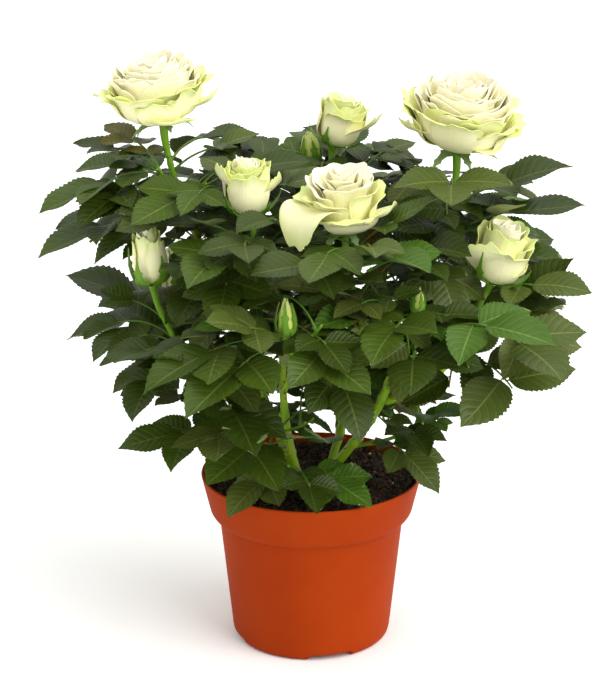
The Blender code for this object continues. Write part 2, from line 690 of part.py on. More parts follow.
def bloom_solid(base, facing, width, height, opened, sides, seed):
    """A closed flower head with five lobes that shift from ring to ring as petals overlap."""
    rng = random.Random(seed)
    axis = unit(facing)
    side = unit(np.cross(axis, [0.0, 1.0, 0.1]))
    other = np.cross(axis, side)
    phase = rng.uniform(0, 2 * math.pi)
    profile = bloom_profile(opened)
    points = [(0.0, -0.02)] + profile + [(0.0, 0.97 - 0.05 * opened)]

    def place(j, k, point):
        radius = math.hypot(point[0], point[1])
        angle = 2 * math.pi * k / sides
        lobe = math.cos(5 * angle + phase + j * 1.3) * (0.02 + 0.05 * opened) * (1 < j < len(points) - 1)
        out = radius * (1 + lobe) * width / 2
        rise = (point[2] + lobe * 0.5) * height
        return base + axis * rise + (side * math.cos(angle) + other * math.sin(angle)) * out

    verts, faces = turned([(r, z) for r, z in points], sides, place)
    ends = [0, len(verts) - 1]
    verts[ends[0]] = base + axis * points[0][1] * height
    verts[ends[1]] = base + axis * points[-1][1] * height
    return verts, faces


def sepals(base, facing, width, height, opened, seed):
    """Five narrow blades under the flower: hugging a bud, spread or bent down under an open bloom."""
    rng = random.Random(seed + 50)
    axis = unit(facing)
    side = unit(np.cross(axis, [0.0, 1.0, 0.1]))
    other = np.cross(axis, side)
    start = rng.uniform(0, 2 * math.pi)
    pieces = []
    for k in range(5):
        angle = start + 2 * math.pi * k / 5
        out = side * math.cos(angle) + other * math.sin(angle)
        if opened < 0.3:
            aim = unit(axis * 0.9 + out * (0.62 - opened))
            length = height * 0.72
        else:
            aim = unit(out * 0.9 + axis * (0.25 - 0.5 * opened * rng.uniform(0.4, 1.0)))
            length = max(width * 0.34, 11.0)
        normal = unit(np.cross(np.cross(aim, axis), aim)) if opened > 0.3 else out
        pieces.append(blade(base - axis * 0.4, aim, normal, length, max(length * 0.3, 3.6)))
    return pieces


def build():
    clear_scene()
    clay = material("moulded_plastic", (0.42, 0.05, 0.012), 0.45)
    peat = material("compost", (0.016, 0.009, 0.006), 0.95)
    bark = material("green_bark", (0.14, 0.28, 0.02), 0.5)
    leaf = material("rose_leaf", (0.03, 0.09, 0.02), 0.5)
    petal = material("petal", (0.88, 0.88, 0.62), 0.6)
    make_pot(clay)
    make_soil(peat)

    canes = make_canes()
    boughs = {}
    for name, (cane, share, tip, r0, r1) in BOUGHS.items():
        boughs[name] = grow_from(canes[cane], share, tip, r0, r1, 4, 7)
    limbs = {**canes, **boughs}
    shoots = {}
    for name, (parent, share, tip, r0, r1, *_) in SHOOTS.items():
        shoots[name] = grow_from(limbs[parent], share, tip, r0, r1, 5, 6)

    obstacles = []
    for name, limb in limbs.items():
        shape = limb.solid(flat_foot=name in canes)
        make_object(name, *shape, bark, smooth=True)
        obstacles.append(shape)
    for name, (shoot, share, base, facing, width, height, opened, top_radius, seed) in BLOOMS.items():
        base = np.array(base)
        _, _, radius = shoots[shoot].at(share)
        foot_radius = radius if share == 1.0 else radius * 0.8
        neck = base + unit(facing) * NECK_SINK
        stem = grow_from(shoots[shoot], share, neck, foot_radius, top_radius, 4, 7, facing)
        stalk = stem.solid()
        sides = 11 if opened > 0.3 else 8
        head = bloom_solid(base, facing, width, height, opened, sides, seed)
        leaves = sepals(base, facing, width, height, opened, seed) if 0.1 < opened < 0.5 else []
        fuse(name, stalk, [head] + leaves, petal)
        obstacles += [stalk, head] + leaves

    stems = {name: limb.solid() for name, limb in shoots.items()}
    for name, pieces in grow_leaves(shoots, stems, obstacles).items():
        fuse(name, stems[name], pieces, leaf)


build()
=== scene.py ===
"""Looks of a potted garden rose: leaves, stems, blooms, moulded pot and compost, in a pale studio.

The shoots and their leaves grow by the same seeded rule as the solids, then go on to finer twigs in
the room that is left. Lengths are in millimetres and are scaled once, where a mesh is made. +Z is up,
and the origin is on the pot's axis at its underside.
"""

import math
import random

import bpy
import numpy as np
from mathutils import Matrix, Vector
from mathutils.bvhtree import BVHTree


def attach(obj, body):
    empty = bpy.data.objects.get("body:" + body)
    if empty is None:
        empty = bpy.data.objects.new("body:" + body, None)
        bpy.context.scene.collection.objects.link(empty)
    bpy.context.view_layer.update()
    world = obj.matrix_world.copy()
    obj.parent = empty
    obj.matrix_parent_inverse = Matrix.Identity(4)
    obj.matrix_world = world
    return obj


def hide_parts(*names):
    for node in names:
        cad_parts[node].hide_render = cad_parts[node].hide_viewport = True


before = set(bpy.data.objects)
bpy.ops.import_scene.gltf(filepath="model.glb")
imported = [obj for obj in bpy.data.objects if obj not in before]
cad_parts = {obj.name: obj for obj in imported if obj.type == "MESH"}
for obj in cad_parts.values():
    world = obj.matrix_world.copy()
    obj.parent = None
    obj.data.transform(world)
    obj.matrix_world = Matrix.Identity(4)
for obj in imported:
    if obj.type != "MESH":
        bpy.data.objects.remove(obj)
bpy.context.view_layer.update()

MM = 0.001
CLEAR = 0.3  # gap left between one limb and the next
UP = np.array([0.0, 0.0, 1.0])
GOLDEN = math.radians(137.5)

# Pot and compost
POT_RIM_RADIUS = 60.0
POT_HEIGHT = 94.0
COLLAR_FOOT_RADIUS = 55.2
COLLAR_FOOT_Z = 73.4
BODY_TOP_RADIUS = 50.3
BODY_TOP_Z = 69.6
BODY_FOOT_RADIUS = 43.3
POT_WALL = 1.2
FOOT_RING_OUTER = 40.5
FOOT_RING_INNER = 36.0
FOOT_HEIGHT = 3.8
NOTCH_Z = 3.3
BODY_EDGE_Z = 1.5
STEP_IN = 1.6
POT_SIDES = 36  # sides that the notches are counted in
NOTCHES = 4
NOTCH_STEPS = 3
NOTCH_START = 27
SOIL_Z = 89.0
POT_TURN_SIDES = 288
COMPOST_TURN_SIDES = 96
CORNER_ROUND = 1.1
LUMP_WAVES = 26
LUMP_LENGTH = (5.0, 26.0)
LUMP_HEIGHT = 0.9
CRUMBS = 5200
PALE_SHARE = 0.006
BROWN_SHARE = 0.3

# The leaf rule
LEAF_TURN = 137.5
LEAF_RISE = 34.0
LEAF_DROOP = 46.0
FRONT_DROOP = 24.0  # how much more a leaf that points forward or back hangs
LEAF_LENGTH = 55.0
TERMINAL_LENGTH = 45.0
UPPER_SHARE = 0.84
LOWER_SHARE = 0.6
WIDTH_SHARE = 0.64
BLADE_THICKNESS = 0.62
SMALL_BLADE = 28.0
LIGHT = (0.0, 0.55, 0.8)  # how far leaves turn their faces to the near side, and up
TURN_OUTWARD = 0.45
RACHIS_RADIUS = 0.9
LEAF_STEPS = 3
LEAF_SINK = 1.4
LEAF_STAGGER = 1.1
TRIES = 26
SPACE_SHARE = 18.0
LEAF_CLEAR = 0.5
REACH_X = 145.0
REACH_Y = 122.0
TOP_OF_LEAVES = 285.0
LOW_UNDERSIDE = (86.0, 80.0, 1.0)  # height, radius where it starts to rise, and its slope
CROWN_UNDERSIDE = (128.0, 92.0, 0.7)
BACK_HALF_Y = 60.0  # from here back, leaves and blooms face the far side
FIRST_LEAF = (TRIES, SPACE_SHARE, LEAF_CLEAR)

# What leaves must not hide: blooms, petals that hang, and a cane where it shows bare
VIEW_RISE = 0.33  # how far up a level look at the bush comes from
FACE_DEPTH = 110.0  # how far before it leaves keep out
FACE_SHARE = 0.46  # and how far aside: this share of a bloom's width
HANGING_SHARE = 0.75  # this share of a hanging petal's half width
BARE_STRIP = 2.0  # and this much beside a bare cane
BARE = {"cane_right": np.linspace(0.3, 0.85, 12)}  # shares of the way along it

# Finer growth in the room that is left
TWIGS_EACH = 5
TWIG_LENGTH = (16.0, 40.0)
TWIG_LEAVES = 3
TWIG_TRIES = 9
TWIG_RADII = (0.85, 0.6)
MORE_LEAVES = 6
MORE_SHARE = 30.0  # how far past halfway to the next shoot the finer leaves may reach
FINER_LEAF = (TWIG_TRIES, MORE_SHARE, 0.0)
FINER_UNDERSIDE = 128.0  # the finer growth stays above this, so that the canes show
FINER_LOW = 116.0  # and that of the low shoots above this

# Canes: foot on the compost, top, sideways bow, and radius at foot and top
CANES = {
    "cane_left": ((-5.0, -14.0), (-15.0, -24.0, 162.0), (-4.0, 0.0), 2.3, 1.9),
    "cane_right": ((6.0, -1.0), (44.0, -14.0, 160.0), (7.0, 0.0), 2.7, 2.1),
    "cane_back_left": ((-9.0, 12.0), (-34.0, 24.0, 168.0), (-5.0, 2.0), 2.4, 1.9),
    "cane_back_right": ((10.0, 15.0), (26.0, 36.0, 166.0), (4.0, 5.0), 2.4, 1.9),
}

# Boughs: the cane each leaves, where along it (1 is its tip), its tip, and radius at foot and tip
BOUGHS = {
    "bough_left_bud": ("cane_left", 0.62, (-49.0, -30.0, 150.0), 1.6, 1.4),
    "bough_left_middle": ("cane_left", 1.0, (-25.0, -26.0, 190.0), 1.7, 1.4),
    "bough_front": ("cane_left", 0.84, (-10.0, -48.0, 174.0), 1.5, 1.3),
    "bough_right_top": ("cane_right", 1.0, (58.0, -6.0, 196.0), 1.9, 1.6),
    "bough_right_bloom": ("cane_right", 0.74, (72.0, -20.0, 162.0), 1.8, 1.5),
    "bough_centre": ("cane_right", 0.56, (27.0, -34.0, 172.0), 1.6, 1.4),
    "bough_right_bud": ("cane_right", 0.86, (52.0, -42.0, 172.0), 1.4, 1.2),
    "bough_left_top": ("cane_back_left", 1.0, (-52.0, 16.0, 204.0), 1.7, 1.5),
    "bough_back_left": ("cane_back_left", 0.4, (-48.0, 50.0, 132.0), 1.6, 1.4),
    "bough_middle_top": ("cane_back_right", 1.0, (16.0, 36.0, 204.0), 1.7, 1.4),
    "bough_back": ("cane_back_right", 0.34, (7.0, 58.0, 124.0), 1.6, 1.4),
    "bough_back_right": ("cane_back_right", 0.82, (56.0, 48.0, 178.0), 1.6, 1.4),
}

# Shoots: the limb each grows from, where along it, its tip, its stem radius at foot and tip, how
# many leaves it has, the leaf size, the turn of its first leaf in degrees, and its seed
SHOOTS = {
    "leaves_left_bud": ("bough_left_bud", 1.0, (-73.0, -24.0, 180.0), 1.35, 1.2, 6, 0.9, 169, 8011),
    "leaves_left_middle": ("bough_left_middle", 1.0, (-29.5, -25.0, 233.0), 1.3, 1.1, 7, 0.9, 237, 8022),
    "leaves_front": ("bough_front", 1.0, (-12.0, -76.0, 192.0), 1.2, 1.0, 7, 0.9, 288, 8033),
    "leaves_right_top": ("bough_right_top", 1.0, (75.0, 6.0, 250.0), 1.5, 1.35, 8, 1.0, 336, 8044),
    "leaves_right_bloom": ("bough_right_bloom", 1.0, (87.0, -18.0, 191.0), 1.4, 1.3, 6, 1.1, 294, 8055),
    "leaves_centre": ("bough_centre", 1.0, (18.0, -40.0, 230.0), 1.35, 1.2, 7, 0.9, 290, 8066),
    "leaves_right_bud": ("bough_right_bud", 1.0, (53.5, -52.0, 196.0), 1.1, 0.9, 5, 0.85, 235, 8077),
    "leaves_left_top": ("bough_left_top", 1.0, (-75.0, 8.0, 268.0), 1.45, 1.3, 8, 1.0, 130, 8088),
    "leaves_back_left": ("bough_back_left", 1.0, (-68.0, 76.0, 160.0), 1.35, 1.2, 6, 1.0, 77, 8099),
    "leaves_middle_top": ("bough_middle_top", 1.0, (11.0, 35.0, 258.0), 1.35, 1.2, 7, 0.95, 61, 8110),
    "leaves_back": ("bough_back", 1.0, (4.0, 87.0, 150.0), 1.35, 1.2, 6, 1.0, 123, 8121),
    "leaves_back_right": ("bough_back_right", 1.0, (68.0, 66.0, 226.0), 1.35, 1.2, 7, 1.0, 34, 8132),
    "leaves_inner_left": ("cane_back_left", 0.84, (-40.0, 10.0, 252.0), 1.3, 1.0, 8, 0.9, 206, 8187),
    "leaves_inner_right": ("cane_back_right", 0.9, (45.0, 18.0, 248.0), 1.3, 1.0, 8, 0.9, 291, 8198),
    "leaves_low_left": ("cane_left", 0.30, (-44.0, -30.0, 126.0), 1.2, 0.9, 4, 0.85, 252, 8143),
    "leaves_low_front": ("cane_left", 0.12, (-12.0, -38.0, 112.0), 1.1, 0.8, 4, 0.62, 223, 8154),
    "leaves_low_right": ("cane_right", 0.34, (62.0, -4.0, 126.0), 1.1, 0.9, 3, 0.6, 348, 8165),
    "leaves_low_back": ("cane_back_right", 0.25, (16.0, 48.0, 124.0), 1.2, 0.9, 4, 0.85, 92, 8176),
}

# Blooms: the shoot each grows from, where along it, where its base is, which way it faces, its
# width and height, how far it has opened (0 a tight bud, 1 full blown), its stalk's radius at the
# top, and its seed
BLOOMS = {
    "bloom_left_top": (
        "leaves_left_top", 1.0, (-77.5, 5.0, 289.0), (-0.16, -0.12, 1.0), 54.0, 32.0, 1.0, 2.4, 1),
    "bloom_right_top": (
        "leaves_right_top", 1.0, (76.5, 5.0, 274.0), (0.10, -0.20, 1.0), 60.0, 36.0, 1.0, 2.4, 2),
    "bloom_centre": (
        "leaves_centre", 1.0, (17.0, -40.0, 243.0), (-0.04, -0.22, 1.0), 49.0, 34.0, 0.7, 2.1, 3),
    "bloom_middle_top": (
        "leaves_middle_top", 1.0, (11.5, 35.0, 268.5), (0.30, -0.1, 1.0), 28.0, 29.0, 0.4, 1.9, 4),
    "bloom_left_middle": (
        "leaves_left_middle", 1.0, (-32.0, -25.0, 246.0), (-0.04, -0.1, 1.0), 30.0, 31.0, 0.4, 1.9, 5),
    "bud_left": (
        "leaves_left_bud", 1.0, (-82.5, -25.0, 208.0), (-0.10, 0.0, 1.0), 21.0, 31.0, 0.15, 1.8, 6),
    "bloom_right": (
        "leaves_right_bloom", 1.0, (94.0, -20.0, 208.5), (0.30, -0.1, 1.0), 36.0, 34.0, 0.45, 2.1, 7),
    "bud_front": (
        "leaves_front", 1.0, (-12.6, -80.0, 197.5), (0.0, 0.0, 1.0), 11.5, 19.0, 0.0, 1.3, 8),
    "bud_right": (
        "leaves_right_bud", 1.0, (53.8, -51.0, 200.5), (0.1, 0.0, 1.0), 8.0, 13.0, 0.0, 1.1, 9),
    "bloom_back": (
        "leaves_back", 1.0, (3.0, 94.0, 158.0), (0.0, 0.35, 1.0), 38.0, 30.0, 0.6, 1.9, 10),
    "bud_back_left": (
        "leaves_back_left", 1.0, (-76.0, 84.0, 168.0), (-0.2, 0.2, 1.0), 20.0, 28.0, 0.15, 1.7, 11),
    "bud_small": (
        "leaves_middle_top", 0.62, (0.5, 47.0, 256.0), (-0.1, 0.0, 1.0), 13.0, 16.0, 0.05, 1.3, 12),
}


# ---------------------------------------------------------------- vectors, curves and meshes


def unit(v):
    """The vector at unit length."""
    v = np.asarray(v, float)
    return v / np.linalg.norm(v)


def units(v):
    """Each row at unit length."""
    return v / np.maximum(np.linalg.norm(v, axis=-1, keepdims=True), 1e-9)


def compass(turn):
    """The level direction at a turn in radians from +X towards +Y."""
    return np.array([math.cos(turn), math.sin(turn), 0.0])


def drawn(rng, count):
    """A function that draws one value between two limits for each of count shapes: (count,1,1)."""
    return lambda low, high: rng.uniform(low, high, count)[:, None, None]


def summed(origin, *parts):
    """Points: origin + amount * direction, for each pair of them, in their order."""
    for amount, direction in parts:
        origin = origin + amount[..., None] * direction
    return origin


def mix(a, b, t):
    """From a at 0 to b at 1."""
    return a + (b - a) * t


def smooth(t):
    """0 to 1 with level ends: 3t^2 - 2t^3."""
    t = np.clip(t, 0.0, 1.0)
    return t * t * (3.0 - 2.0 * t)


def cubic(t, p0, p1, p2, p3):
    """Point at t on the Bezier cubic with these four controls."""
    s = 1.0 - t
    return s**3 * p0 + 3 * s * s * t * p1 + 3 * s * t * t * p2 + t**3 * p3


def bend(a, b, start_dir, end_dir, count):
    """Points on a cubic from a to b that sets off along start_dir and arrives along end_dir."""
    a = np.asarray(a, float)
    b = np.asarray(b, float)
    span = np.linalg.norm(b - a)
    c1 = a + unit(start_dir) * span * 0.36
    c2 = b - unit(end_dir) * span * 0.36
    t = np.linspace(0.0, 1.0, count)[:, None]
    return cubic(t, a, c1, c2, b)


def grid_faces(rows, cols, closed=False):
    """Quads between rows of points, closed across the columns if asked."""
    i = np.arange(rows - 1)[:, None]
    j = np.arange(cols if closed else cols - 1)[None, :]
    a = i * cols + j
    b = i * cols + (j + 1) % cols
    return np.stack([a, b, b + cols, a + cols], -1).reshape(-1, 4)


def repeated(faces, points_each, count):
    """The same faces for count shapes that follow each other in one point array."""
    offsets = np.arange(count)[:, None, None] * points_each
    return (faces[None] + offsets).reshape(-1, faces.shape[1])


class Shape:
    """Points, faces, surface coordinates and material numbers, gathered until one mesh is made."""

    def __init__(self):
        self.points = []
        self.faces = []
        self.uv = []
        self.which = []
        self.total = 0

    def add(self, points, faces, uv=None, which=0):
        """Add points (n,3) with faces, a list of index arrays, and each face's material number."""
        points = points.reshape(-1, 3)
        self.points.append(points)
        self.uv.append(np.zeros((len(points), 2)) if uv is None else uv.reshape(-1, 2))
        for k, part in enumerate(faces):
            self.faces += (part + self.total).tolist()
            number = which[k] if isinstance(which, (list, tuple)) else which
            self.which.append(np.broadcast_to(number, len(part)).astype(np.int32))
        self.total += len(points)

    def make(self, name, materials, nodes, sharp=None):
        """One mesh object of all that was added, smooth but across edges past sharp degrees."""
        mesh = bpy.data.meshes.new(name)
        points = np.concatenate(self.points) * MM
        mesh.from_pydata(points.tolist(), [], self.faces)
        layer = mesh.uv_layers.new(name="UVMap")
        corner = np.empty(len(mesh.loops), np.int32)
        mesh.loops.foreach_get("vertex_index", corner)
        layer.data.foreach_set("uv", np.concatenate(self.uv)[corner].ravel())
        mesh.polygons.foreach_set("material_index", np.concatenate(self.which))
        mesh.polygons.foreach_set("use_smooth", np.ones(len(mesh.polygons), bool))
        if sharp:
            mesh.set_sharp_from_angle(angle=math.radians(sharp))
        for made in materials:
            mesh.materials.append(made)
        mesh.update()
        ob = bpy.data.objects.new(name, mesh)
        bpy.context.scene.collection.objects.link(ob)
        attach(ob, "root")
        if nodes:
            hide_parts(*nodes)
        return ob


def ring_frames(paths):
    """Two unit sides for each point of each path, carried along it without turning."""
    along = units(np.gradient(paths, axis=1))
    side = np.empty_like(paths)
    side[:, 0] = units(np.cross(along[:, 0], [0.31, 0.95, 0.11]))
    for i in range(1, paths.shape[1]):
        carried = side[:, i - 1]
        off = np.sum(carried * along[:, i], axis=-1, keepdims=True)
        side[:, i] = units(carried - along[:, i] * off)
    return side, np.cross(along, side)


def tubes(paths, radii, sides):
    """Closed tubes, one for each path (n,m,3).

    A point is path + radius * (cos a * side + sin a * other). radii is (n,m), or (n,m,sides) for a
    relief. Each end closes in a point on the path.
    """
    count, rows, _ = paths.shape
    side, other = ring_frames(paths)
    a = np.linspace(0.0, 2 * math.pi, sides, endpoint=False)[None, None, :, None]
    radii = np.asarray(radii, float)
    radii = radii[..., None, None] if radii.ndim == 2 else radii[..., None]
    outward = np.cos(a) * side[:, :, None] + np.sin(a) * other[:, :, None]
    ring = paths[:, :, None] + radii * outward
    points = np.concatenate([ring.reshape(count, -1, 3), paths[:, :1], paths[:, -1:]], axis=1)
    each = rows * sides + 2
    k = np.arange(sides)
    n = (k + 1) % sides
    foot = np.stack([n, k, np.full(sides, each - 2)], -1)
    last = (rows - 1) * sides
    tip = np.stack([k + last, n + last, np.full(sides, each - 1)], -1)
    quads = repeated(grid_faces(rows, sides, closed=True), each, count)
    caps = repeated(np.concatenate([foot, tip]), each, count)
    v = np.repeat(np.linspace(0.0, 1.0, rows), sides)
    u = np.tile(np.arange(sides) / sides, rows)
    uv = np.concatenate([np.stack([u, v], -1), [[0.5, 0.0], [0.5, 1.0]]])
    return points.reshape(-1, 3), [quads, caps], np.tile(uv, (count, 1))


def shells(sheets, thickness):
    """Closed shells on sheets (n,rows,cols,3): front and back half a thickness off, and a rim.

    thickness is one value, or an array that spreads over the sheets.
    """
    count, rows, cols, _ = sheets.shape
    across = np.gradient(sheets, axis=2)
    down = np.gradient(sheets, axis=1)
    normal = units(np.cross(across, down))
    offset = normal * (np.broadcast_to(thickness, sheets.shape[:3])[..., None] / 2)
    skins = [(sheets + offset).reshape(count, -1, 3), (sheets - offset).reshape(count, -1, 3)]
    points = np.concatenate(skins, axis=1)
    each = rows * cols
    front = grid_faces(rows, cols)
    back = front[:, ::-1] + each
    edge = np.concatenate([
        np.arange(cols),
        np.arange(1, rows) * cols + cols - 1,
        (rows - 1) * cols + np.arange(cols - 2, -1, -1),
        np.arange(rows - 2, 0, -1) * cols,
    ])
    following = np.roll(edge, -1)
    rim = np.stack([following, edge, edge + each, following + each], -1)
    faces = [repeated(part, each * 2, count) for part in (front, back, rim)]
    v, u = np.meshgrid(np.linspace(0, 1, rows), np.linspace(0, 1, cols), indexing="ij")
    uv = np.tile(np.stack([u, v], -1).reshape(-1, 2), (2, 1))
    return points, faces, np.tile(uv, (count, 1))


# ---------------------------------------------------------------- the growth rule


def tube(path, radii, sides, heading=None):
    """A plain capped tube, only to test whether a stalk or stem has room: vertices and faces."""
    path = np.asarray(path, float)
    step = np.gradient(path, axis=0)
    along = step / np.linalg.norm(step, axis=1)[:, None]
    if heading is not None:
        along[0] = heading
    side = unit(np.cross(along[0], [0.31, 0.95, 0.11]))
    verts = []
    for p, d, r in zip(path, along, radii):
        side = unit(side - d * np.dot(side, d))
        other = np.cross(d, side)
        for k in range(sides):
            angle = 2 * math.pi * k / sides
            verts.append(p + r * (math.cos(angle) * side + math.sin(angle) * other))
    last = (len(path) - 1) * sides
    ends = [tuple(range(sides)), tuple(range(last, last + sides))]
    return verts, grid_faces(len(path), sides, closed=True).tolist() + ends


class Limb:
    """A tapering limb on a cubic: a coarse path for the rule, and its curve for the mesh."""

    def __init__(self, a, b, start_dir, end_dir, count, foot_radius, tip_radius, sides):
        self.curve = (a, b, start_dir, end_dir)
        self.path = bend(a, b, start_dir, end_dir, count)
        self.heading = start_dir
        self.radii = np.linspace(foot_radius, tip_radius, count)
        self.sides = sides
        self.nodes = []  # shares along the limb where a leaf or limb leaves it

    def smooth_path(self, count):
        """Points along its curve, and its length."""
        path = bend(*self.curve, count)
        return path, np.sum(np.linalg.norm(np.diff(path, axis=0), axis=1))

    def solid(self):
        """The rule's plain tube of it: vertices and faces."""
        return tube(self.path, self.radii, self.sides, self.heading)

    def at(self, share):
        """Point, direction and radius at a share of the way along."""
        x = share * (len(self.path) - 1)
        i = min(int(x), len(self.path) - 2)
        f = x - i
        point = self.path[i] * (1 - f) + self.path[i + 1] * f
        radius = self.radii[i] * (1 - f) + self.radii[i + 1] * f
        return point, unit(self.path[i + 1] - self.path[i]), radius


def make_canes():
    """The canes, each set off to one side of its way by its bow."""
    limbs = {}
    for name, (foot, top, bow, r0, r1) in CANES.items():
        a = np.array([foot[0], foot[1], SOIL_Z + CLEAR])
        b = np.array(top)
        start = unit([b[0] - a[0] + bow[0] * 4, b[1] - a[1] + bow[1] * 4, (b[2] - a[2]) * 1.2])
        end = unit([b[0] - a[0] - bow[0] * 3, b[1] - a[1] - bow[1] * 3, (b[2] - a[2]) * 1.3])
        limbs[name] = Limb(a, b, start, end, 7, r0, r1, 8)
    return limbs


def grow_from(parent, share, tip, r0, r1, count, sides, end_dir=None):
    """A limb that leaves its parent a gap clear: from its tip if share is 1, or from its side."""
    point, along, radius = parent.at(share)
    tip = np.array(tip, float)
    if share >= 1.0:
        start = point + along * CLEAR
        start_dir = along
    else:
        parent.nodes.append(share)
        away = tip - point
        away = unit(away - along * np.dot(away, along))
        start_dir = unit(away + along * 0.75)
        lean = float(np.dot(start_dir, along))
        start = point + away * (radius + CLEAR + r0 * lean)
    if end_dir is None:
        end_dir = unit(unit(tip - start) + UP * 0.55)
    return Limb(start, tip, start_dir, end_dir, count, r0, r1, sides)


def blade(root, along, normal, length, width):
    """The rule's plain leaflet: four or six outline points round a ridge, with a flat underside."""
    along = unit(along)
    across = unit(np.cross(along, normal))
    normal = np.cross(across, along)
    if length < SMALL_BLADE:
        outline = [(0.0, 0.0), (0.46, 0.5), (1.0, 0.0), (0.46, -0.5)]
        bottom = [(0, 3, 1), (1, 3, 2)]
    else:
        outline = [(0.0, 0.0), (0.36, 0.5), (0.72, 0.37), (1.0, 0.0), (0.72, -0.37), (0.36, -0.5)]
        bottom = [(0, 5, 1), (1, 5, 4), (1, 4, 2), (2, 4, 3)]
    verts = [root + along * s * length + across * w * width for s, w in outline]
    verts.append(root + along * length * 0.45 + normal * max(BLADE_THICKNESS, length / 70))
    top = [(k, (k + 1) % len(outline), len(outline)) for k in range(len(outline))]
    return np.array(verts), top + bottom


def leaf_plan(root, turn, rise, droop, length, size, pairs, roll, rng):
    """One pinnate leaf: its rachis path, and its leaflets as root, direction, normal, length, width.

    The rachis sets off at rise degrees above level, towards turn, and bends down by droop degrees.
    """
    heading = compass(turn)
    across = np.array([-heading[1], heading[0], 0.0])
    path = [np.array(root, float)]
    tilt = []
    for i in range(LEAF_STEPS):
        angle = math.radians(rise - droop * (i + 0.5) / LEAF_STEPS)
        tilt.append(angle)
        step = heading * math.cos(angle) + UP * math.sin(angle)
        path.append(path[-1] + step * length / LEAF_STEPS)
    path = np.array(path)

    def frame_at(share):
        x = min(share * LEAF_STEPS, LEAF_STEPS - 0.001)
        i = int(x)
        angle = tilt[i]
        along = heading * math.cos(angle) + UP * math.sin(angle)
        normal = -heading * math.sin(angle) + UP * math.cos(angle)
        side = across * math.cos(roll) + normal * math.sin(roll)
        return path[i] + (path[i + 1] - path[i]) * (x - i), along, side, np.cross(along, side)

    leaflets = []
    _, along, side, normal = frame_at(1.0)
    tip_length = TERMINAL_LENGTH * size * rng.uniform(0.9, 1.1)
    aim = along + side * rng.uniform(-0.25, 0.25) - normal * rng.uniform(-0.1, 0.25)
    near_side = -1.0 if root[1] < BACK_HALF_Y else 1.0
    to_light = unit(heading * TURN_OUTWARD + np.array(LIGHT) * (1.0, near_side, 1.0))
    foot = path[-1] - along * LEAF_SINK
    leaflets.append((foot, aim, normal + to_light, tip_length, tip_length * WIDTH_SHARE))
    for place, share in [(0.86, UPPER_SHARE), (0.52, LOWER_SHARE)][:pairs]:
        for hand in (-1, 1):
            stagger = hand * LEAF_STAGGER / length
            spot, along, side, normal = frame_at(place + stagger)
            blade_length = tip_length * share * rng.uniform(0.9, 1.1)
            forward = rng.uniform(0.3, 0.65)
            aim = side * hand * 0.88 + along * forward - normal * rng.uniform(-0.15, 0.3)
            tipped = normal + side * hand * rng.uniform(-0.1, 0.25) + to_light
            leaflets.append((spot, aim, tipped, blade_length, blade_length * WIDTH_SHARE))
    return path, leaflets


def draw_leaf(limb, k, count, size, first_turn, rng):
    """One leaf drawn at random for its place k on a shoot."""
    share = 0.05 + 0.93 * (k + rng.uniform(0.1, 0.8)) / count
    root, _, _ = limb.at(share)
    turn = math.radians(first_turn + LEAF_TURN * k + rng.uniform(-55, 55))
    lower = 1.0 - 0.3 * share**2
    rise = LEAF_RISE + 16 * share + rng.uniform(-20, 16)
    droop = LEAF_DROOP + FRONT_DROOP * abs(math.sin(turn)) + rng.uniform(-22, 22)
    length = LEAF_LENGTH * size * lower * rng.uniform(0.8, 1.15)
    pairs = 2 if share < 0.8 else 1
    roll = math.radians(rng.uniform(-16, 16))
    return share, leaf_plan(root, turn, rise, droop, length, size * lower, pairs, roll, rng)


def tree_of(pieces):
    """One search tree over several pieces, each given as vertices and faces."""
    verts = []
    faces = []
    for v, f in pieces:
        base = len(verts)
        verts += [Vector(p) for p in v]
        faces += [tuple(i + base for i in face) for face in f]
    return BVHTree.FromPolygons(verts, faces, epsilon=0.0) if verts else None


def node_tree(names):
    """What the solids of these nodes take up, in millimetres."""
    pieces = []
    for name in names:
        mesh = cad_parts[name].data
        verts = [tuple(c / MM for c in v.co) for v in mesh.vertices]
        pieces.append((verts, [tuple(p.vertices) for p in mesh.polygons]))
    return tree_of(pieces)


def spread_samples(verts):
    """A blade's corners with points between each and its ridge."""
    ridge = verts[-1]
    return np.vstack([verts, (verts[:-1] + ridge) / 2, (verts[:-1] * 3 + ridge) / 4])


def touches(verts, faces, samples, clear, *trees):
    """True if a piece crosses what a tree holds, or comes nearer to it than clear."""
    own = tree_of([(verts, faces)])
    for tree in trees:
        if tree is None:
            continue
        if tree.overlap(own):
            return True
        if clear and any(tree.find_nearest(Vector(p), clear)[0] is not None for p in samples):
            return True
    return False


def in_front(points, middle, toward, size):
    """True if any point lies before a middle, looking from toward, and less than size aside."""
    run = (points - middle) @ toward
    aside = np.linalg.norm(points - middle - run[:, None] * toward, axis=1)
    return ((run > 0) & (run < FACE_DEPTH) & (aside < size)).any()


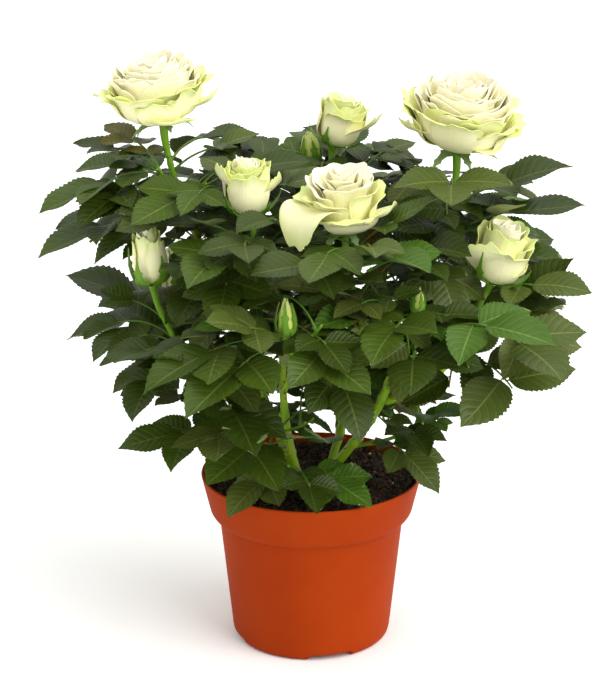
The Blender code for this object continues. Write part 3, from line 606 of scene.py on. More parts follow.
class Space:
    """The room that one shoot's leaves keep to.

    Each point of a leaf is nearer its own shoot than any other, give or take a slack, within the
    bush's reach, above its underside, clear of the pot, and not before the face of a bloom.
    """

    def __init__(self, name, shoots):
        paths = np.array([limb.path for limb in shoots.values()])
        self.foot = paths[:, :-1].reshape(-1, 3)
        self.run = (paths[:, 1:] - paths[:, :-1]).reshape(-1, 3)
        self.shape = (len(shoots), paths.shape[1] - 1)
        self.own = list(shoots).index(name)
        self.underside = LOW_UNDERSIDE if "low" in name else CROWN_UNDERSIDE
        self.finer = FINER_LOW if "low" in name else FINER_UNDERSIDE
        self.faces = []
        for _, _, base, facing, width, height, *_ in BLOOMS.values():
            middle = np.array(base) + unit(facing) * height * 0.5
            outward = -1.0 if base[1] < BACK_HALF_Y else 1.0
            self.faces.append((middle, unit([0.0, outward, VIEW_RISE]), width * FACE_SHARE))

    def holds(self, points, slack):
        """True if all points lie in this room."""
        points = np.atleast_2d(points)
        if slack > SPACE_SHARE and points[:, 2].min() < self.finer:
            return False
        if np.abs(points[:, 0]).max() > REACH_X or np.abs(points[:, 1]).max() > REACH_Y:
            return False
        radius = np.hypot(points[:, 0], points[:, 1])
        height, start, slope = self.underside
        below = points[:, 2] < height + slope * np.maximum(radius - start, 0.0)
        if points[:, 2].max() > TOP_OF_LEAVES or below.any():
            return False
        if ((radius < POT_RIM_RADIUS + 3) & (points[:, 2] < POT_HEIGHT + 2)).any():
            return False
        if any(in_front(points, *face) for face in self.faces):
            return False
        away = points[:, None] - self.foot[None]
        t = np.clip(np.sum(away * self.run, -1) / np.sum(self.run * self.run, -1), 0, 1)[..., None]
        gap = np.linalg.norm(away - t * self.run, axis=-1)
        gap = gap.reshape(len(points), *self.shape).min(axis=2)
        return not (gap[:, self.own, None] - slack > gap).any()


def leaf_with_room(limb, place, rng, space, tries, slack, clear, in_way, grown):
    """The fullest of several draws of a leaf, with those leaflets that have room, or nothing."""
    best = None
    best_area = 0.0
    for _ in range(tries):
        share, (path, leaflets) = draw_leaf(limb, *place, rng)
        stalk = tube(path, np.linspace(RACHIS_RADIUS, RACHIS_RADIUS * 0.75, len(path)), 3)
        ring_points = np.array(stalk[0])[3:]
        if not space.holds(ring_points, slack) or touches(*stalk, ring_points, clear, *in_way):
            continue
        kept = []
        solids = [stalk]
        area = 0.0
        for leaflet in leaflets:
            verts, faces = blade(*leaflet)
            samples = spread_samples(verts)
            if not space.holds(samples, slack) or touches(verts, faces, samples, clear, *in_way):
                continue
            if grown and grown.overlap(tree_of([(verts, faces)])):
                continue
            kept.append(leaflet)
            solids.append((verts, faces))
            area += leaflet[3] * leaflet[4]
        if area > best_area and len(kept) * 2 >= len(leaflets):
            best = (share, path, kept, solids)
            best_area = area
    return best


def grow_leaves(shoots, blocked):
    """Every shoot's leaves by the rule.

    The shoots take turns, a leaf at a time, so that none crowds another.
    """
    leaves = {name: [] for name in shoots}
    solids = {name: [] for name in shoots}
    stems = {name: limb.solid() for name, limb in shoots.items()}
    spaces = {name: Space(name, shoots) for name in shoots}
    rngs = {name: random.Random(spec[-1]) for name, spec in SHOOTS.items()}
    for k in range(max(spec[5] for spec in SHOOTS.values())):
        for name, (_, _, _, _, _, count, size, turn, _) in SHOOTS.items():
            if k >= count:
                continue
            others = []
            for other in shoots:
                if other != name:
                    others += [stems[other]] + solids[other]
            place = (k, count, size, turn)
            in_way = (blocked, tree_of(others))
            grown = tree_of(solids[name])
            found = leaf_with_room(
                shoots[name], place, rngs[name], spaces[name], *FIRST_LEAF, in_way, grown)
            if found:
                share, path, kept, made = found
                shoots[name].nodes.append(share)
                leaves[name].append((path, kept))
                solids[name] += made
    return leaves, solids, stems, spaces


def grow_finer(shoots, leaves, solids, stems, spaces, blocked):
    """Side twigs on each shoot with a few smaller leaves, and smaller leaves between the first."""
    twigs = {name: [] for name in shoots}
    for round_number in range(TWIGS_EACH + MORE_LEAVES):
        for name, spec in SHOOTS.items():
            rng = random.Random(spec[-1] * 31 + round_number)
            size = spec[6]
            shoot = shoots[name]
            others = []
            for other in shoots:
                others += solids[other] + ([stems[other]] if other != name else [])
            in_way = (blocked, tree_of(others))
            if round_number >= TWIGS_EACH:
                place = (rng.randrange(6), 6, size * rng.uniform(0.55, 0.85), rng.uniform(0, 360))
                found = leaf_with_room(shoot, place, rng, spaces[name], *FINER_LEAF, in_way, None)
                if found:
                    shoot.nodes.append(found[0])
                    leaves[name].append(found[1:3])
                    solids[name] += found[3]
                continue
            share = 0.12 + 0.8 * (round_number + rng.random()) / TWIGS_EACH
            foot = shoot.at(share)[0]
            like = Limb(*shoot.curve, 5, shoot.radii[0], shoot.radii[-1], 6)  # it takes no nodes
            for _ in range(TWIG_TRIES):
                level = compass(rng.uniform(0, 2 * math.pi))
                tip = foot + unit(level + UP * rng.uniform(0.2, 0.9)) * rng.uniform(*TWIG_LENGTH)
                twig = grow_from(like, share, tip, *TWIG_RADII, count=5, sides=5)
                shape = twig.solid()
                room = spaces[name].holds(np.array(shape[0]), MORE_SHARE)
                if room and not touches(*shape, [], 0.0, *in_way):
                    break
            else:
                continue
            shoot.nodes.append(share)
            twigs[name].append(twig)
            solids[name].append(shape)
            for k in range(TWIG_LEAVES):
                place = (k, TWIG_LEAVES, size * rng.uniform(0.6, 0.9), rng.uniform(0, 360))
                grown = tree_of([s for s in solids[name] if s is not shape])
                found = leaf_with_room(twig, place, rng, spaces[name], *FINER_LEAF, in_way, grown)
                if found:
                    twig.nodes.append(found[0])
                    leaves[name].append(found[1:3])
                    solids[name] += found[3]
    return twigs


def grow_bush():
    """All limbs, shoots, flower stalks and leaves, from the tables."""
    canes = make_canes()
    boughs = {}
    for name, (cane, share, tip, r0, r1) in BOUGHS.items():
        boughs[name] = grow_from(canes[cane], share, tip, r0, r1, count=4, sides=7)
    limbs = {**canes, **boughs}
    shoots = {}
    for name, (parent, share, tip, r0, r1, *_) in SHOOTS.items():
        shoots[name] = grow_from(limbs[parent], share, tip, r0, r1, count=5, sides=6)
    stalks = {}
    for name, (shoot, share, base, facing, _, _, _, top_radius, _) in BLOOMS.items():
        foot_radius = shoots[shoot].at(share)[2] * (1.0 if share == 1.0 else 0.8)
        end = np.array(base) + unit(facing) * 1.2
        stalks[name] = grow_from(shoots[shoot], share, end, foot_radius, top_radius, 4, 7, facing)
    blocked = node_tree([*limbs, *BLOOMS])
    leaves, solids, stems, spaces = grow_leaves(shoots, blocked)
    twigs = grow_finer(shoots, leaves, solids, stems, spaces, blocked)
    return limbs, shoots, stalks, twigs, thinned(leaves, limbs)


def thinned(leaves, limbs):
    """The leaves without a few leaflets that would be in the way.

    They cut a petal that has dropped open, or hide from the front one that hangs or a bare cane.
    """
    fronts = []
    for cane, shares in BARE.items():
        fronts += [(limbs[cane].at(share)[0], BARE_STRIP) for share in shares]
    opened = Shape()
    for name, petals in FLARES.items():
        make_flares(opened, name)
        for turn, reach, crest, end, half_width in petals:
            if end < 0.0:
                out = compass(math.radians(turn))
                middle = np.array(BLOOMS[name][2]) + out * reach * 0.9 + UP * (crest + end) / 2
                fronts.append((middle, half_width * HANGING_SHARE))
    tree = BVHTree.FromPolygons(np.concatenate(opened.points).tolist(), opened.faces)
    toward = unit([0.0, -1.0, VIEW_RISE])

    def stays(leaflet):
        verts, faces = blade(*leaflet)
        samples = spread_samples(verts)
        hides = any(in_front(samples, middle, toward, size) for middle, size in fronts)
        return not hides and not tree.overlap(tree_of([(verts, faces)]))

    cleared = {}
    for name, own in leaves.items():
        clear = [(path, [leaflet for leaflet in kept if stays(leaflet)]) for path, kept in own]
        cleared[name] = [(path, kept) for path, kept in clear if kept]
    return cleared


# ---------------------------------------------------------------- leaves

LEAF_COLUMNS = np.array([-1.0, -0.52, 0.0, 0.52, 1.0, 0.0])
LEAF_STRIPS = [((0, 1), (1, 2), (2, 3), (3, 4)), ((4, 5), (5, 0))]  # upper face, then underside
UNDERSIDE_DROP = 0.35  # how far the midrib stands below the blade
STALK_SHARE = 0.045  # of a leaflet's length
TOOTH = 0.905  # the half width where the outline steps in, as a share


def leaf_outline(s):
    """Half an ovate leaflet's width at s of its length: sin(pi s^0.8) ^ (0.62 + 0.5 s^4) / 2."""
    return 0.5 * np.sin(math.pi * np.clip(s, 0, 1) ** 0.8) ** (0.62 + 0.5 * s**4)


def leaf_blades(rows, leaflets, seed):
    """Serrated leaflets, each a closed lens: points (n,each,3), upper and under faces, and uv.

    At s along and c across, the place is root + along*s*L + across*c*h(s)*W + normal*z, where z is a
    fold up from the midrib, a puff between rib and edge, a slow wave at the edge, and a bend down to
    the tip. The outline steps in at every second row, with its teeth set forward.
    """
    rng = np.random.default_rng(seed)
    count = len(leaflets)
    root, along, normal, full, width = (np.array(item, float) for item in zip(*leaflets))
    along = units(along)
    across = units(np.cross(along, normal))
    normal = np.cross(across, along)
    width = width[:, None, None]
    stalk = full * STALK_SHARE
    length = (full - stalk)[:, None, None]
    root = root + along * stalk[:, None]

    columns = len(LEAF_COLUMNS)
    j = np.arange(1, rows)
    s = (j / rows)[None, :, None]
    c = LEAF_COLUMNS[None, None, :]
    rim = np.abs(c) == 1.0
    notch = ((j % 2 == 0) & (j > 1))[None, :, None] & rim
    half = leaf_outline(s) * width * np.where(notch, TOOTH, 1.0)
    s = s + np.where(rim & ~notch, 0.5 / rows, 0.0) * (1 - s)
    some = drawn(rng, count)
    y = c * half
    z = np.abs(y) * np.tan(np.radians(some(2, 24)))
    z = z + some(0.04, 0.16) * np.abs(y) * (1 - np.abs(c)) * 2
    swing = some(0.01, 0.04) * width * c * c
    z = z + swing * np.sin(2 * math.pi * some(0.8, 2.2) * s + some(0, 6.3) + c * some(0, 2))
    z = z + some(0.05, 0.5) * length * (0.32 * s - 0.5 * s * s)
    z = z - np.where(np.arange(columns) == columns - 1, UNDERSIDE_DROP, 0.0)
    twist = some(-0.35, 0.35) * (s - 0.4)
    y, z = y * np.cos(twist) - z * np.sin(twist), y * np.sin(twist) + z * np.cos(twist)
    y = y + some(-0.10, 0.10) * length * (s - s * s)

    origin, *ways = (item[:, None, None] for item in (root, along, across, normal))
    inner = summed(origin, *zip((length * s, y, z), ways)).reshape(count, -1, 3)
    tip_z = 2 * z[:, -1:, 2:3] - z[:, -2:-1, 2:3]
    tip = summed(origin, *zip((length, y[:, -1:, 2:3], tip_z), ways)).reshape(count, 1, 3)
    points = np.concatenate([root[:, None], tip, inner], axis=1)
    each = points.shape[1]

    faces = []
    row = 2 + np.arange(rows - 2) * columns
    below = row + columns
    last = 2 + (rows - 2) * columns
    for strip in LEAF_STRIPS:
        quads = [np.stack([row + p, row + q, below + q, below + p], -1) for p, q in strip]
        ends = [[(0, 2 + q, 2 + p), (1, last + p, last + q)] for p, q in strip]
        faces += [np.concatenate(quads), np.array(ends).reshape(-1, 3)]
    uv_inner = np.stack(np.broadcast_arrays((c + 1) / 2, s), -1)[0].reshape(-1, 2)
    uv = np.concatenate([[[0.5, 0.0], [0.5, 1.0]], uv_inner])
    return points, [repeated(part, each, count) for part in faces], np.tile(uv, (count, 1))


# ---------------------------------------------------------------- materials


def linear(code):
    """Linear colour with full alpha from an sRGB hex code."""
    values = [int(code[i:i + 2], 16) / 255 for i in (1, 3, 5)]
    return (*[v / 12.92 if v <= 0.04045 else ((v + 0.055) / 1.055) ** 2.4 for v in values], 1.0)


def shaded(code, share):
    """Linear colour from an sRGB hex code, at this share of its brightness."""
    return tuple(c * share for c in linear(code)[:3]) + (1.0,)


def add(tree, kind, inputs=None, stops=(), **settings):
    """Add a node of a kind, with its settings and any colour stops.

    An input is a value, or a (node, output name) to link from. A stop is a place, and a colour as
    sRGB hex or a linear grey.
    """
    made = tree.nodes.new("ShaderNode" + kind)
    for key, value in settings.items():
        setattr(made, key, value)
    for key, value in (inputs or {}).items():
        if isinstance(value, tuple) and isinstance(value[0], bpy.types.Node):
            tree.links.new(value[0].outputs[value[1]], made.inputs[key])
        else:
            made.inputs[key].default_value = value
    if stops:
        elements = made.color_ramp.elements
        while len(elements) < len(stops):
            elements.new(0.5)
        for element, (place, colour) in zip(elements, stops):
            element.position = place
            element.color = linear(colour) if isinstance(colour, str) else (colour,) * 3 + (1.0,)
    return made


def start_material(name, roughness, specular=0.5):
    """A new material with its shader's own roughness and specular level set, and its node tree."""
    made = bpy.data.materials.new(name)
    made.use_nodes = True
    tree = made.node_tree
    shader = tree.nodes["Principled BSDF"]
    shader.inputs["Roughness"].default_value = roughness
    shader.inputs["Specular IOR Level"].default_value = specular
    return made, tree


def dressed(made, colour, bump):
    """The material with a colour, as (node, output name), and a bump linked to its shader."""
    tree = made.node_tree
    shader = tree.nodes["Principled BSDF"]
    tree.links.new(colour[0].outputs[colour[1]], shader.inputs["Base Color"])
    tree.links.new(bump.outputs["Normal"], shader.inputs["Normal"])
    return made


# Strength of a leaf's midrib and side veins, and height of its puff, by the way off the line: in
# shares of the blade's width for the midrib, and of the vein spacing for the others
MIDRIB = {"From Min": 0.006, "From Max": 0.028, "To Min": 0.6, "To Max": 0.0}
SIDE_VEINS = {"From Min": 0.0, "From Max": 0.05, "To Min": 0.34, "To Max": 0.0}
PUFF = {"From Min": 0.0, "From Max": 0.3, "To Min": 0.0, "To Max": 0.4}
VEIN_COUNT = 8.0
FLUSH_FROM = 0.52  # the patches' level where bark starts to redden, and where it is reddest
FLUSH_FULL = 0.75


def leaf_finish(name, base, vein, rough):
    """Living rose leaf: waxy, so satin, puffed between side veins that leave a pale midrib."""
    made, tree = start_material(name, roughness=rough, specular=0.24)
    spot = add(tree, "TexCoord")
    split = add(tree, "SeparateXYZ", {"Vector": (spot, "UV")})
    off = add(tree, "Math", {0: (split, "X"), 1: 0.5}, operation="SUBTRACT")
    side = add(tree, "Math", {0: (off, "Value")}, operation="ABSOLUTE")
    back = {0: (side, "Value"), 1: -0.5, 2: (split, "Y")}
    lean = add(tree, "Math", back, operation="MULTIPLY_ADD")
    wave = add(tree, "Math", {0: (lean, "Value"), 1: VEIN_COUNT}, operation="MULTIPLY")
    puff = add(tree, "Math", {0: (wave, "Value"), 1: 0.5}, operation="PINGPONG")
    rib = add(tree, "MapRange", {"Value": (side, "Value"), **MIDRIB})
    veins = add(tree, "MapRange", {"Value": (puff, "Value"), **SIDE_VEINS})
    lines = add(tree, "Math", {0: (rib, "Result"), 1: (veins, "Result")}, operation="MAXIMUM")
    patch = add(tree, "TexNoise", {"Vector": (spot, "Object"), "Scale": 70.0, "Detail": 2.0})
    mottle = {"Factor": (patch, "Fac"), 6: shaded(base, 0.72), 7: linear(base)}
    green = add(tree, "Mix", mottle, data_type="RGBA")
    veined = {"Factor": (lines, "Value"), 6: (green, 2), 7: linear(vein)}
    colour = add(tree, "Mix", veined, data_type="RGBA")
    grain = add(tree, "TexNoise", {"Vector": (spot, "Object"), "Scale": 900.0, "Detail": 3.0})
    pad = add(tree, "MapRange", {"Value": (puff, "Value"), **PUFF})
    both = {0: (grain, "Fac"), 1: 0.12, 2: (pad, "Result")}
    height = add(tree, "Math", both, operation="MULTIPLY_ADD")
    bump = add(tree, "Bump", {"Height": (height, "Value"), "Strength": 0.5, "Distance": 0.0009})
    return dressed(made, (colour, 2), bump)


def underside_finish(name, base):
    """The matt, paler underside of a rose leaf, mottled and a little rough."""
    made, tree = start_material(name, roughness=0.62)
    spot = add(tree, "TexCoord")
    patch = add(tree, "TexNoise", {"Vector": (spot, "Object"), "Scale": 160.0, "Detail": 3.0})
    mottle = {"Factor": (patch, "Fac"), 6: shaded(base, 0.8), 7: linear(base)}
    green = add(tree, "Mix", mottle, data_type="RGBA")
    bump = add(tree, "Bump", {"Height": (patch, "Fac"), "Strength": 0.4, "Distance": 0.0006})
    return dressed(made, (green, 2), bump)


def stem_finish(name, green, red, amount):
    """Young rose bark: smooth, waxy, green, flushed red in patches, with fine lengthwise grain."""
    made, tree = start_material(name, roughness=0.42, specular=0.3)
    spot = add(tree, "TexCoord")
    patch = add(tree, "TexNoise", {"Vector": (spot, "Object"), "Scale": 60.0, "Detail": 3.0})
    patches = {"From Min": FLUSH_FROM, "From Max": FLUSH_FULL, "To Min": 0.0, "To Max": amount}
    flush = add(tree, "MapRange", {"Value": (patch, "Fac"), **patches})
    flushed = {"Factor": (flush, "Result"), 6: linear(green), 7: linear(red)}
    colour = add(tree, "Mix", flushed, data_type="RGBA")
    place = add(tree, "Mapping", {"Vector": (spot, "UV"), "Scale": (9.0, 26.0, 1.0)})
    grain = add(tree, "TexNoise", {"Vector": (place, "Vector"), "Scale": 2.0, "Detail": 3.0})
    bump = add(tree, "Bump", {"Height": (grain, "Fac"), "Strength": 0.35, "Distance": 0.0006})
    return dressed(made, (colour, 2), bump)


def petal_finish(name, foot, middle, edge):
    """A rose petal: faintly velvety, its colour running from claw to edge along fine veins."""
    made, tree = start_material(name, roughness=0.55, specular=0.25)
    spot = add(tree, "TexCoord")
    split = add(tree, "SeparateXYZ", {"Vector": (spot, "UV")})
    stretch = add(tree, "Mapping", {"Vector": (spot, "UV"), "Scale": (26.0, 1.6, 1.0)})
    streak = add(tree, "TexNoise", {"Vector": (stretch, "Vector"), "Scale": 1.0, "Detail": 3.0})
    veined = {0: (streak, "Fac"), 1: 0.16, 2: (split, "Y")}
    drift = add(tree, "Math", veined, operation="MULTIPLY_ADD")
    level = add(tree, "Math", {0: (drift, "Value"), 1: 0.08}, operation="SUBTRACT")
    stops = [(0.08, foot), (0.42, middle), (0.78, middle), (1.0, edge)]
    colour = add(tree, "ValToRGB", {"Fac": (level, "Value")}, stops)
    bump = add(tree, "Bump", {"Height": (streak, "Fac"), "Strength": 0.25, "Distance": 0.0008})
    return dressed(made, (colour, "Color"), bump)


def pot_finish():
    """Injection-moulded polypropylene, terracotta dyed: satin, with a faint spark-eroded grain."""
    made, tree = start_material("pot_polypropylene", roughness=0.6, specular=0.05)
    spot = add(tree, "TexCoord")
    cloud = add(tree, "TexNoise", {"Vector": (spot, "Object"), "Scale": 22.0, "Detail": 4.0})
    stops = [(0.3, "#953004"), (0.7, "#9F3706")]
    colour = add(tree, "ValToRGB", {"Fac": (cloud, "Fac")}, stops)
    grain = add(tree, "TexNoise", {"Vector": (spot, "Object"), "Scale": 1400.0, "Detail": 2.0})
    bump = add(tree, "Bump", {"Height": (grain, "Fac"), "Strength": 0.12, "Distance": 0.0003})
    return dressed(made, (colour, "Color"), bump)


def compost_finish(name, dark, light):
    """Damp peat compost: near black brown, crumbly, fibrous and matt."""
    made, tree = start_material(name, roughness=0.93)
    spot = add(tree, "TexCoord")
    crumb = add(tree, "TexNoise", {"Vector": (spot, "Object"), "Scale": 420.0, "Detail": 6.0})
    stops = [(0.35, dark), (0.7, light)]
    colour = add(tree, "ValToRGB", {"Fac": (crumb, "Fac")}, stops)
    bump = add(tree, "Bump", {"Height": (crumb, "Fac"), "Strength": 0.9, "Distance": 0.002})
    return dressed(made, (colour, "Color"), bump)


# ---------------------------------------------------------------- pot and compost


def lathe(profile, sides):
    """Rings of points turned from (radius, height) points that start and end on the axis."""
    profile = np.array(profile, float)
    a = np.linspace(0.0, 2 * math.pi, sides, endpoint=False)
    ring = profile[1:-1]
    x = ring[:, :1] * np.cos(a)
    y = ring[:, :1] * np.sin(a)
    z = ring[:, 1:] + 0 * x
    return np.stack([x, y, z], -1), profile[0, 1], profile[-1, 1]


def close_lathe(rings, z_first, z_last):
    """Points and faces of a turned solid: its rings, with a point on the axis at each end."""
    rows, sides, _ = rings.shape
    points = np.concatenate([rings.reshape(-1, 3), [[0, 0, z_first], [0, 0, z_last]]])
    k = np.arange(sides)
    n = (k + 1) % sides
    last = (rows - 1) * sides
    first_fan = np.stack([n, k, np.full(sides, rows * sides)], -1)
    last_fan = np.stack([k + last, n + last, np.full(sides, rows * sides + 1)], -1)
    return points, [grid_faces(rows, sides, closed=True), first_fan, last_fan]


def rounded(profile, reach, steps=4):
    """A profile whose corners turn on quadratic arcs that start up to reach from each corner."""
    profile = [np.array(p, float) for p in profile]
    out = [profile[0]]
    t = np.linspace(0.0, 1.0, steps + 1)[:, None]
    for before, corner, after in zip(profile, profile[1:], profile[2:]):
        back = before - corner
        on = after - corner
        r = min(reach, np.linalg.norm(back) * 0.45, np.linalg.norm(on) * 0.45)
        a = corner + unit(back) * r
        b = corner + unit(on) * r
        out += list((1 - t) ** 2 * a + 2 * (1 - t) * t * corner + t * t * b)
    return out + [profile[-1]]


def wall_radius(z):
    """The outside of the pot's tapered body at a height."""
    return mix(BODY_FOOT_RADIUS, BODY_TOP_RADIUS, (z - FOOT_HEIGHT) / (BODY_TOP_Z - FOOT_HEIGHT))


def collar_radius(z):
    """The outside of its collar at a height."""
    share = (z - COLLAR_FOOT_Z) / (POT_HEIGHT - COLLAR_FOOT_Z)
    return mix(COLLAR_FOOT_RADIUS, POT_RIM_RADIUS, share)


def make_pot():
    """The pot, turned from its profile, with its foot ring cut away at four notches."""
    floor = FOOT_HEIGHT + POT_WALL
    step_out = COLLAR_FOOT_RADIUS - STEP_IN
    outside = [
        (0.0, FOOT_HEIGHT),
        (FOOT_RING_INNER - 0.6, FOOT_HEIGHT),
        (FOOT_RING_INNER, 0.0),
        (FOOT_RING_OUTER, 0.0),
        (BODY_FOOT_RADIUS - 0.7, BODY_EDGE_Z),
        (BODY_FOOT_RADIUS + 0.1, FOOT_HEIGHT + 0.8),
        (BODY_TOP_RADIUS, BODY_TOP_Z),
        (step_out, BODY_TOP_Z + 1.4),
        (COLLAR_FOOT_RADIUS, COLLAR_FOOT_Z),
        (POT_RIM_RADIUS, POT_HEIGHT - 0.7),
        (POT_RIM_RADIUS - 0.3, POT_HEIGHT),
        (POT_RIM_RADIUS - POT_WALL, POT_HEIGHT),
        (collar_radius(COLLAR_FOOT_Z + 1.4) - POT_WALL, COLLAR_FOOT_Z + 1.4),
        (step_out - POT_WALL, BODY_TOP_Z + 2.8),
        (BODY_TOP_RADIUS - POT_WALL, BODY_TOP_Z + 0.9),
        (wall_radius(floor + 1.5) - POT_WALL, floor + 1.5),
        (wall_radius(floor + 1.5) - POT_WALL - 1.6, floor),
        (0.0, floor),
    ]
    rings, z0, z1 = lathe(rounded(outside, CORNER_ROUND), POT_TURN_SIDES)
    pitch = 2 * math.pi / NOTCHES
    step = 2 * math.pi / POT_SIDES
    angle = np.linspace(0.0, 2 * math.pi, POT_TURN_SIDES, endpoint=False)
    from_middle = (angle - (NOTCH_START + NOTCH_STEPS / 2) * step + pitch / 2) % pitch - pitch / 2
    ramp_width = math.radians(2.0)
    cut = smooth((NOTCH_STEPS * step / 2 + ramp_width - np.abs(from_middle)) / ramp_width)
    low = rings[:, :, 2] < NOTCH_Z
    outer = np.hypot(rings[:, :, 0], rings[:, :, 1]) > FOOT_RING_INNER - 1.0
    lifted = NOTCH_Z + 0.2 * np.minimum(rings[:, :, 2], BODY_EDGE_Z)
    rings[:, :, 2] = np.where(low & outer, mix(rings[:, :, 2], lifted, cut[None]), rings[:, :, 2])
    points, faces = close_lathe(rings, z0, z1)
    shape = Shape()
    shape.add(points, faces)
    shape.make("pot_moulding", [pot_finish()], ["pot"], sharp=32)


def make_compost():
    """Compost: a turned bed, its top thrown up by summed waves, under thousands of loose crumbs."""
    rng = np.random.default_rng(51)
    floor = FOOT_HEIGHT + POT_WALL + CLEAR
    gap = POT_WALL + CLEAR
    edge = collar_radius(SOIL_Z) - gap - 0.2
    top = [(edge * s, SOIL_Z) for s in np.linspace(0.985, 0.06, 24)]
    profile = [
        (0.0, floor),
        (wall_radius(floor + 1.5) - gap - 1.8, floor),
        (wall_radius(floor + 1.7) - gap, floor + 1.7),
        (BODY_TOP_RADIUS - gap, BODY_TOP_Z + 1.4),
        (collar_radius(COLLAR_FOOT_Z + 2.0) - gap - 0.2, COLLAR_FOOT_Z + 2.0),
        (edge, SOIL_Z - 1.8),
        *top,
        (0.0, SOIL_Z),
    ]
    rings, z0, z1 = lathe(profile, COMPOST_TURN_SIDES)
    x = rings[:, :, 0]
    y = rings[:, :, 1]
    lumps = np.zeros_like(x)
    for _ in range(LUMP_WAVES):
        turn = rng.uniform(0, 2 * math.pi)
        wave = 2 * math.pi / rng.uniform(*LUMP_LENGTH)
        run = x * math.cos(turn) + y * math.sin(turn)
        lumps += np.sin(run * wave + rng.uniform(0, 6.3)) / wave
    lumps *= LUMP_HEIGHT / lumps.std()
    rings[:, :, 2] += np.where(rings[:, :, 2] >= SOIL_Z - 0.01, lumps - 0.6, 0.0)
    shape = Shape()
    shape.add(*close_lathe(rings, z0, z1))
    dark = compost_finish("peat_compost", "#150C08", "#38241A")
    shape.make("compost_bed", [dark], ["soil"])
    make_crumbs(rng, edge - 1.4, dark)


def make_crumbs(rng, reach, dark):
    """Loose crumbs on the compost, each an octahedron with its corners drawn in or out and turned."""
    corners = np.stack([np.eye(3), -np.eye(3)], 1).reshape(6, 3)
    octahedron = np.array([
        [0, 2, 4], [2, 1, 4], [1, 3, 4], [3, 0, 4], [2, 0, 5], [1, 2, 5], [3, 1, 5], [0, 3, 5],
    ])
    radius = np.sqrt(rng.uniform(0, 1, CRUMBS)) * reach
    turn = rng.uniform(0, 2 * math.pi, CRUMBS)
    size = rng.uniform(0.35, 1.0, CRUMBS) ** 2 * 1.9 + 0.35
    level = SOIL_Z + rng.uniform(-0.6, 0.5, CRUMBS)
    centre = np.stack([radius * np.cos(turn), radius * np.sin(turn), level], -1)
    stretch = rng.uniform(0.55, 1.35, (CRUMBS, 6, 3)) * size[:, None, None]
    spin = random_turns(rng, CRUMBS)
    points = centre[:, None] + np.einsum("nij,nkj->nki", spin, corners[None] * stretch)
    pale = np.repeat(rng.uniform(0, 1, CRUMBS) < PALE_SHARE, len(octahedron))
    brown = np.repeat(rng.uniform(0, 1, CRUMBS) < BROWN_SHARE, len(octahedron))
    which = np.where(pale, 2, np.where(brown, 1, 0))
    crumbs = Shape()
    crumbs.add(points, [repeated(octahedron, 6, CRUMBS)], which=[which])
    bark_chip = compost_finish("bark_chip", "#2C180E", "#5E3C26")
    speck = compost_finish("perlite_speck", "#9A9284", "#CFC9BC")
    crumbs.make("compost_crumbs", [dark, bark_chip, speck], ["soil"], sharp=20)


def random_turns(rng, count):
    """Random rotation matrices, from unit quaternions."""
    q = units(rng.normal(size=(count, 4)))
    w, x, y, z = q.T
    rows = [
        [1 - 2 * (y * y + z * z), 2 * (x * y - z * w), 2 * (x * z + y * w)],
        [2 * (x * y + z * w), 1 - 2 * (x * x + z * z), 2 * (y * z - x * w)],
        [2 * (x * z - y * w), 2 * (y * z + x * w), 1 - 2 * (x * x + y * y)],
    ]
    return np.moveaxis(np.array(rows), 2, 0)


# ---------------------------------------------------------------- stems

NODE_SWELL = 0.28  # how much thicker a limb is where a leaf leaves it, and at its foot
COLLAR_SWELL = 0.22
STALK_ROWS = 12
PRICKLES = {"limb": (9.0, 2.3), "stalk": (5.5, 1.1)}  # how far apart, and how long


def limb_mesh(shape, limbs, rng, rows, sides, sink, hip=False):
    """Limbs on their smooth curves, with relief: three low ridges, uneven girth, and swollen nodes.

    Each starts sink millimetres back inside its parent, and is thicker there, as a branch collar
    is. With hip, its last part swells to the cup that a flower sits on.
    """
    for limb in limbs:
        path, length = limb.smooth_path(rows)
        back = path[0] - unit(limb.heading) * sink
        path = np.concatenate([[back], path])
        at = np.concatenate([[-sink], np.linspace(0.0, length, rows)])
        radius = np.interp(at, [0.0, length], [limb.radii[0], limb.radii[-1]])
        if hip:
            neck = mix(limb.radii[0], limb.radii[-1], smooth((at + 4.0) / (length + 4.0)) ** 0.6)
            radius = mix(neck, limb.radii[-1] * 1.3, smooth((at - length + 6.5) / 5.0))
        radius = radius * (1 + COLLAR_SWELL * np.exp(-np.maximum(at, 0) / 2.2))
        for share in limb.nodes:
            radius = radius * (1 + NODE_SWELL * np.exp(-(((at - share * length) / 1.5) ** 2)))
        a = np.linspace(0.0, 2 * math.pi, sides, endpoint=False)
        ridges = 1 + 0.035 * np.cos(3 * a[None] + at[:, None] * 0.03 + rng.uniform(0, 6))
        pulse = rng.uniform(0.25, 0.5)
        girth = 1 + 0.03 * np.sin(at[:, None] * pulse + a[None] + rng.uniform(0, 6))
        points, faces, uv = tubes(path[None], (radius[:, None] * ridges * girth)[None], sides)
        uv = uv * [1.0, length / 60.0]
        shape.add(points, faces, uv)


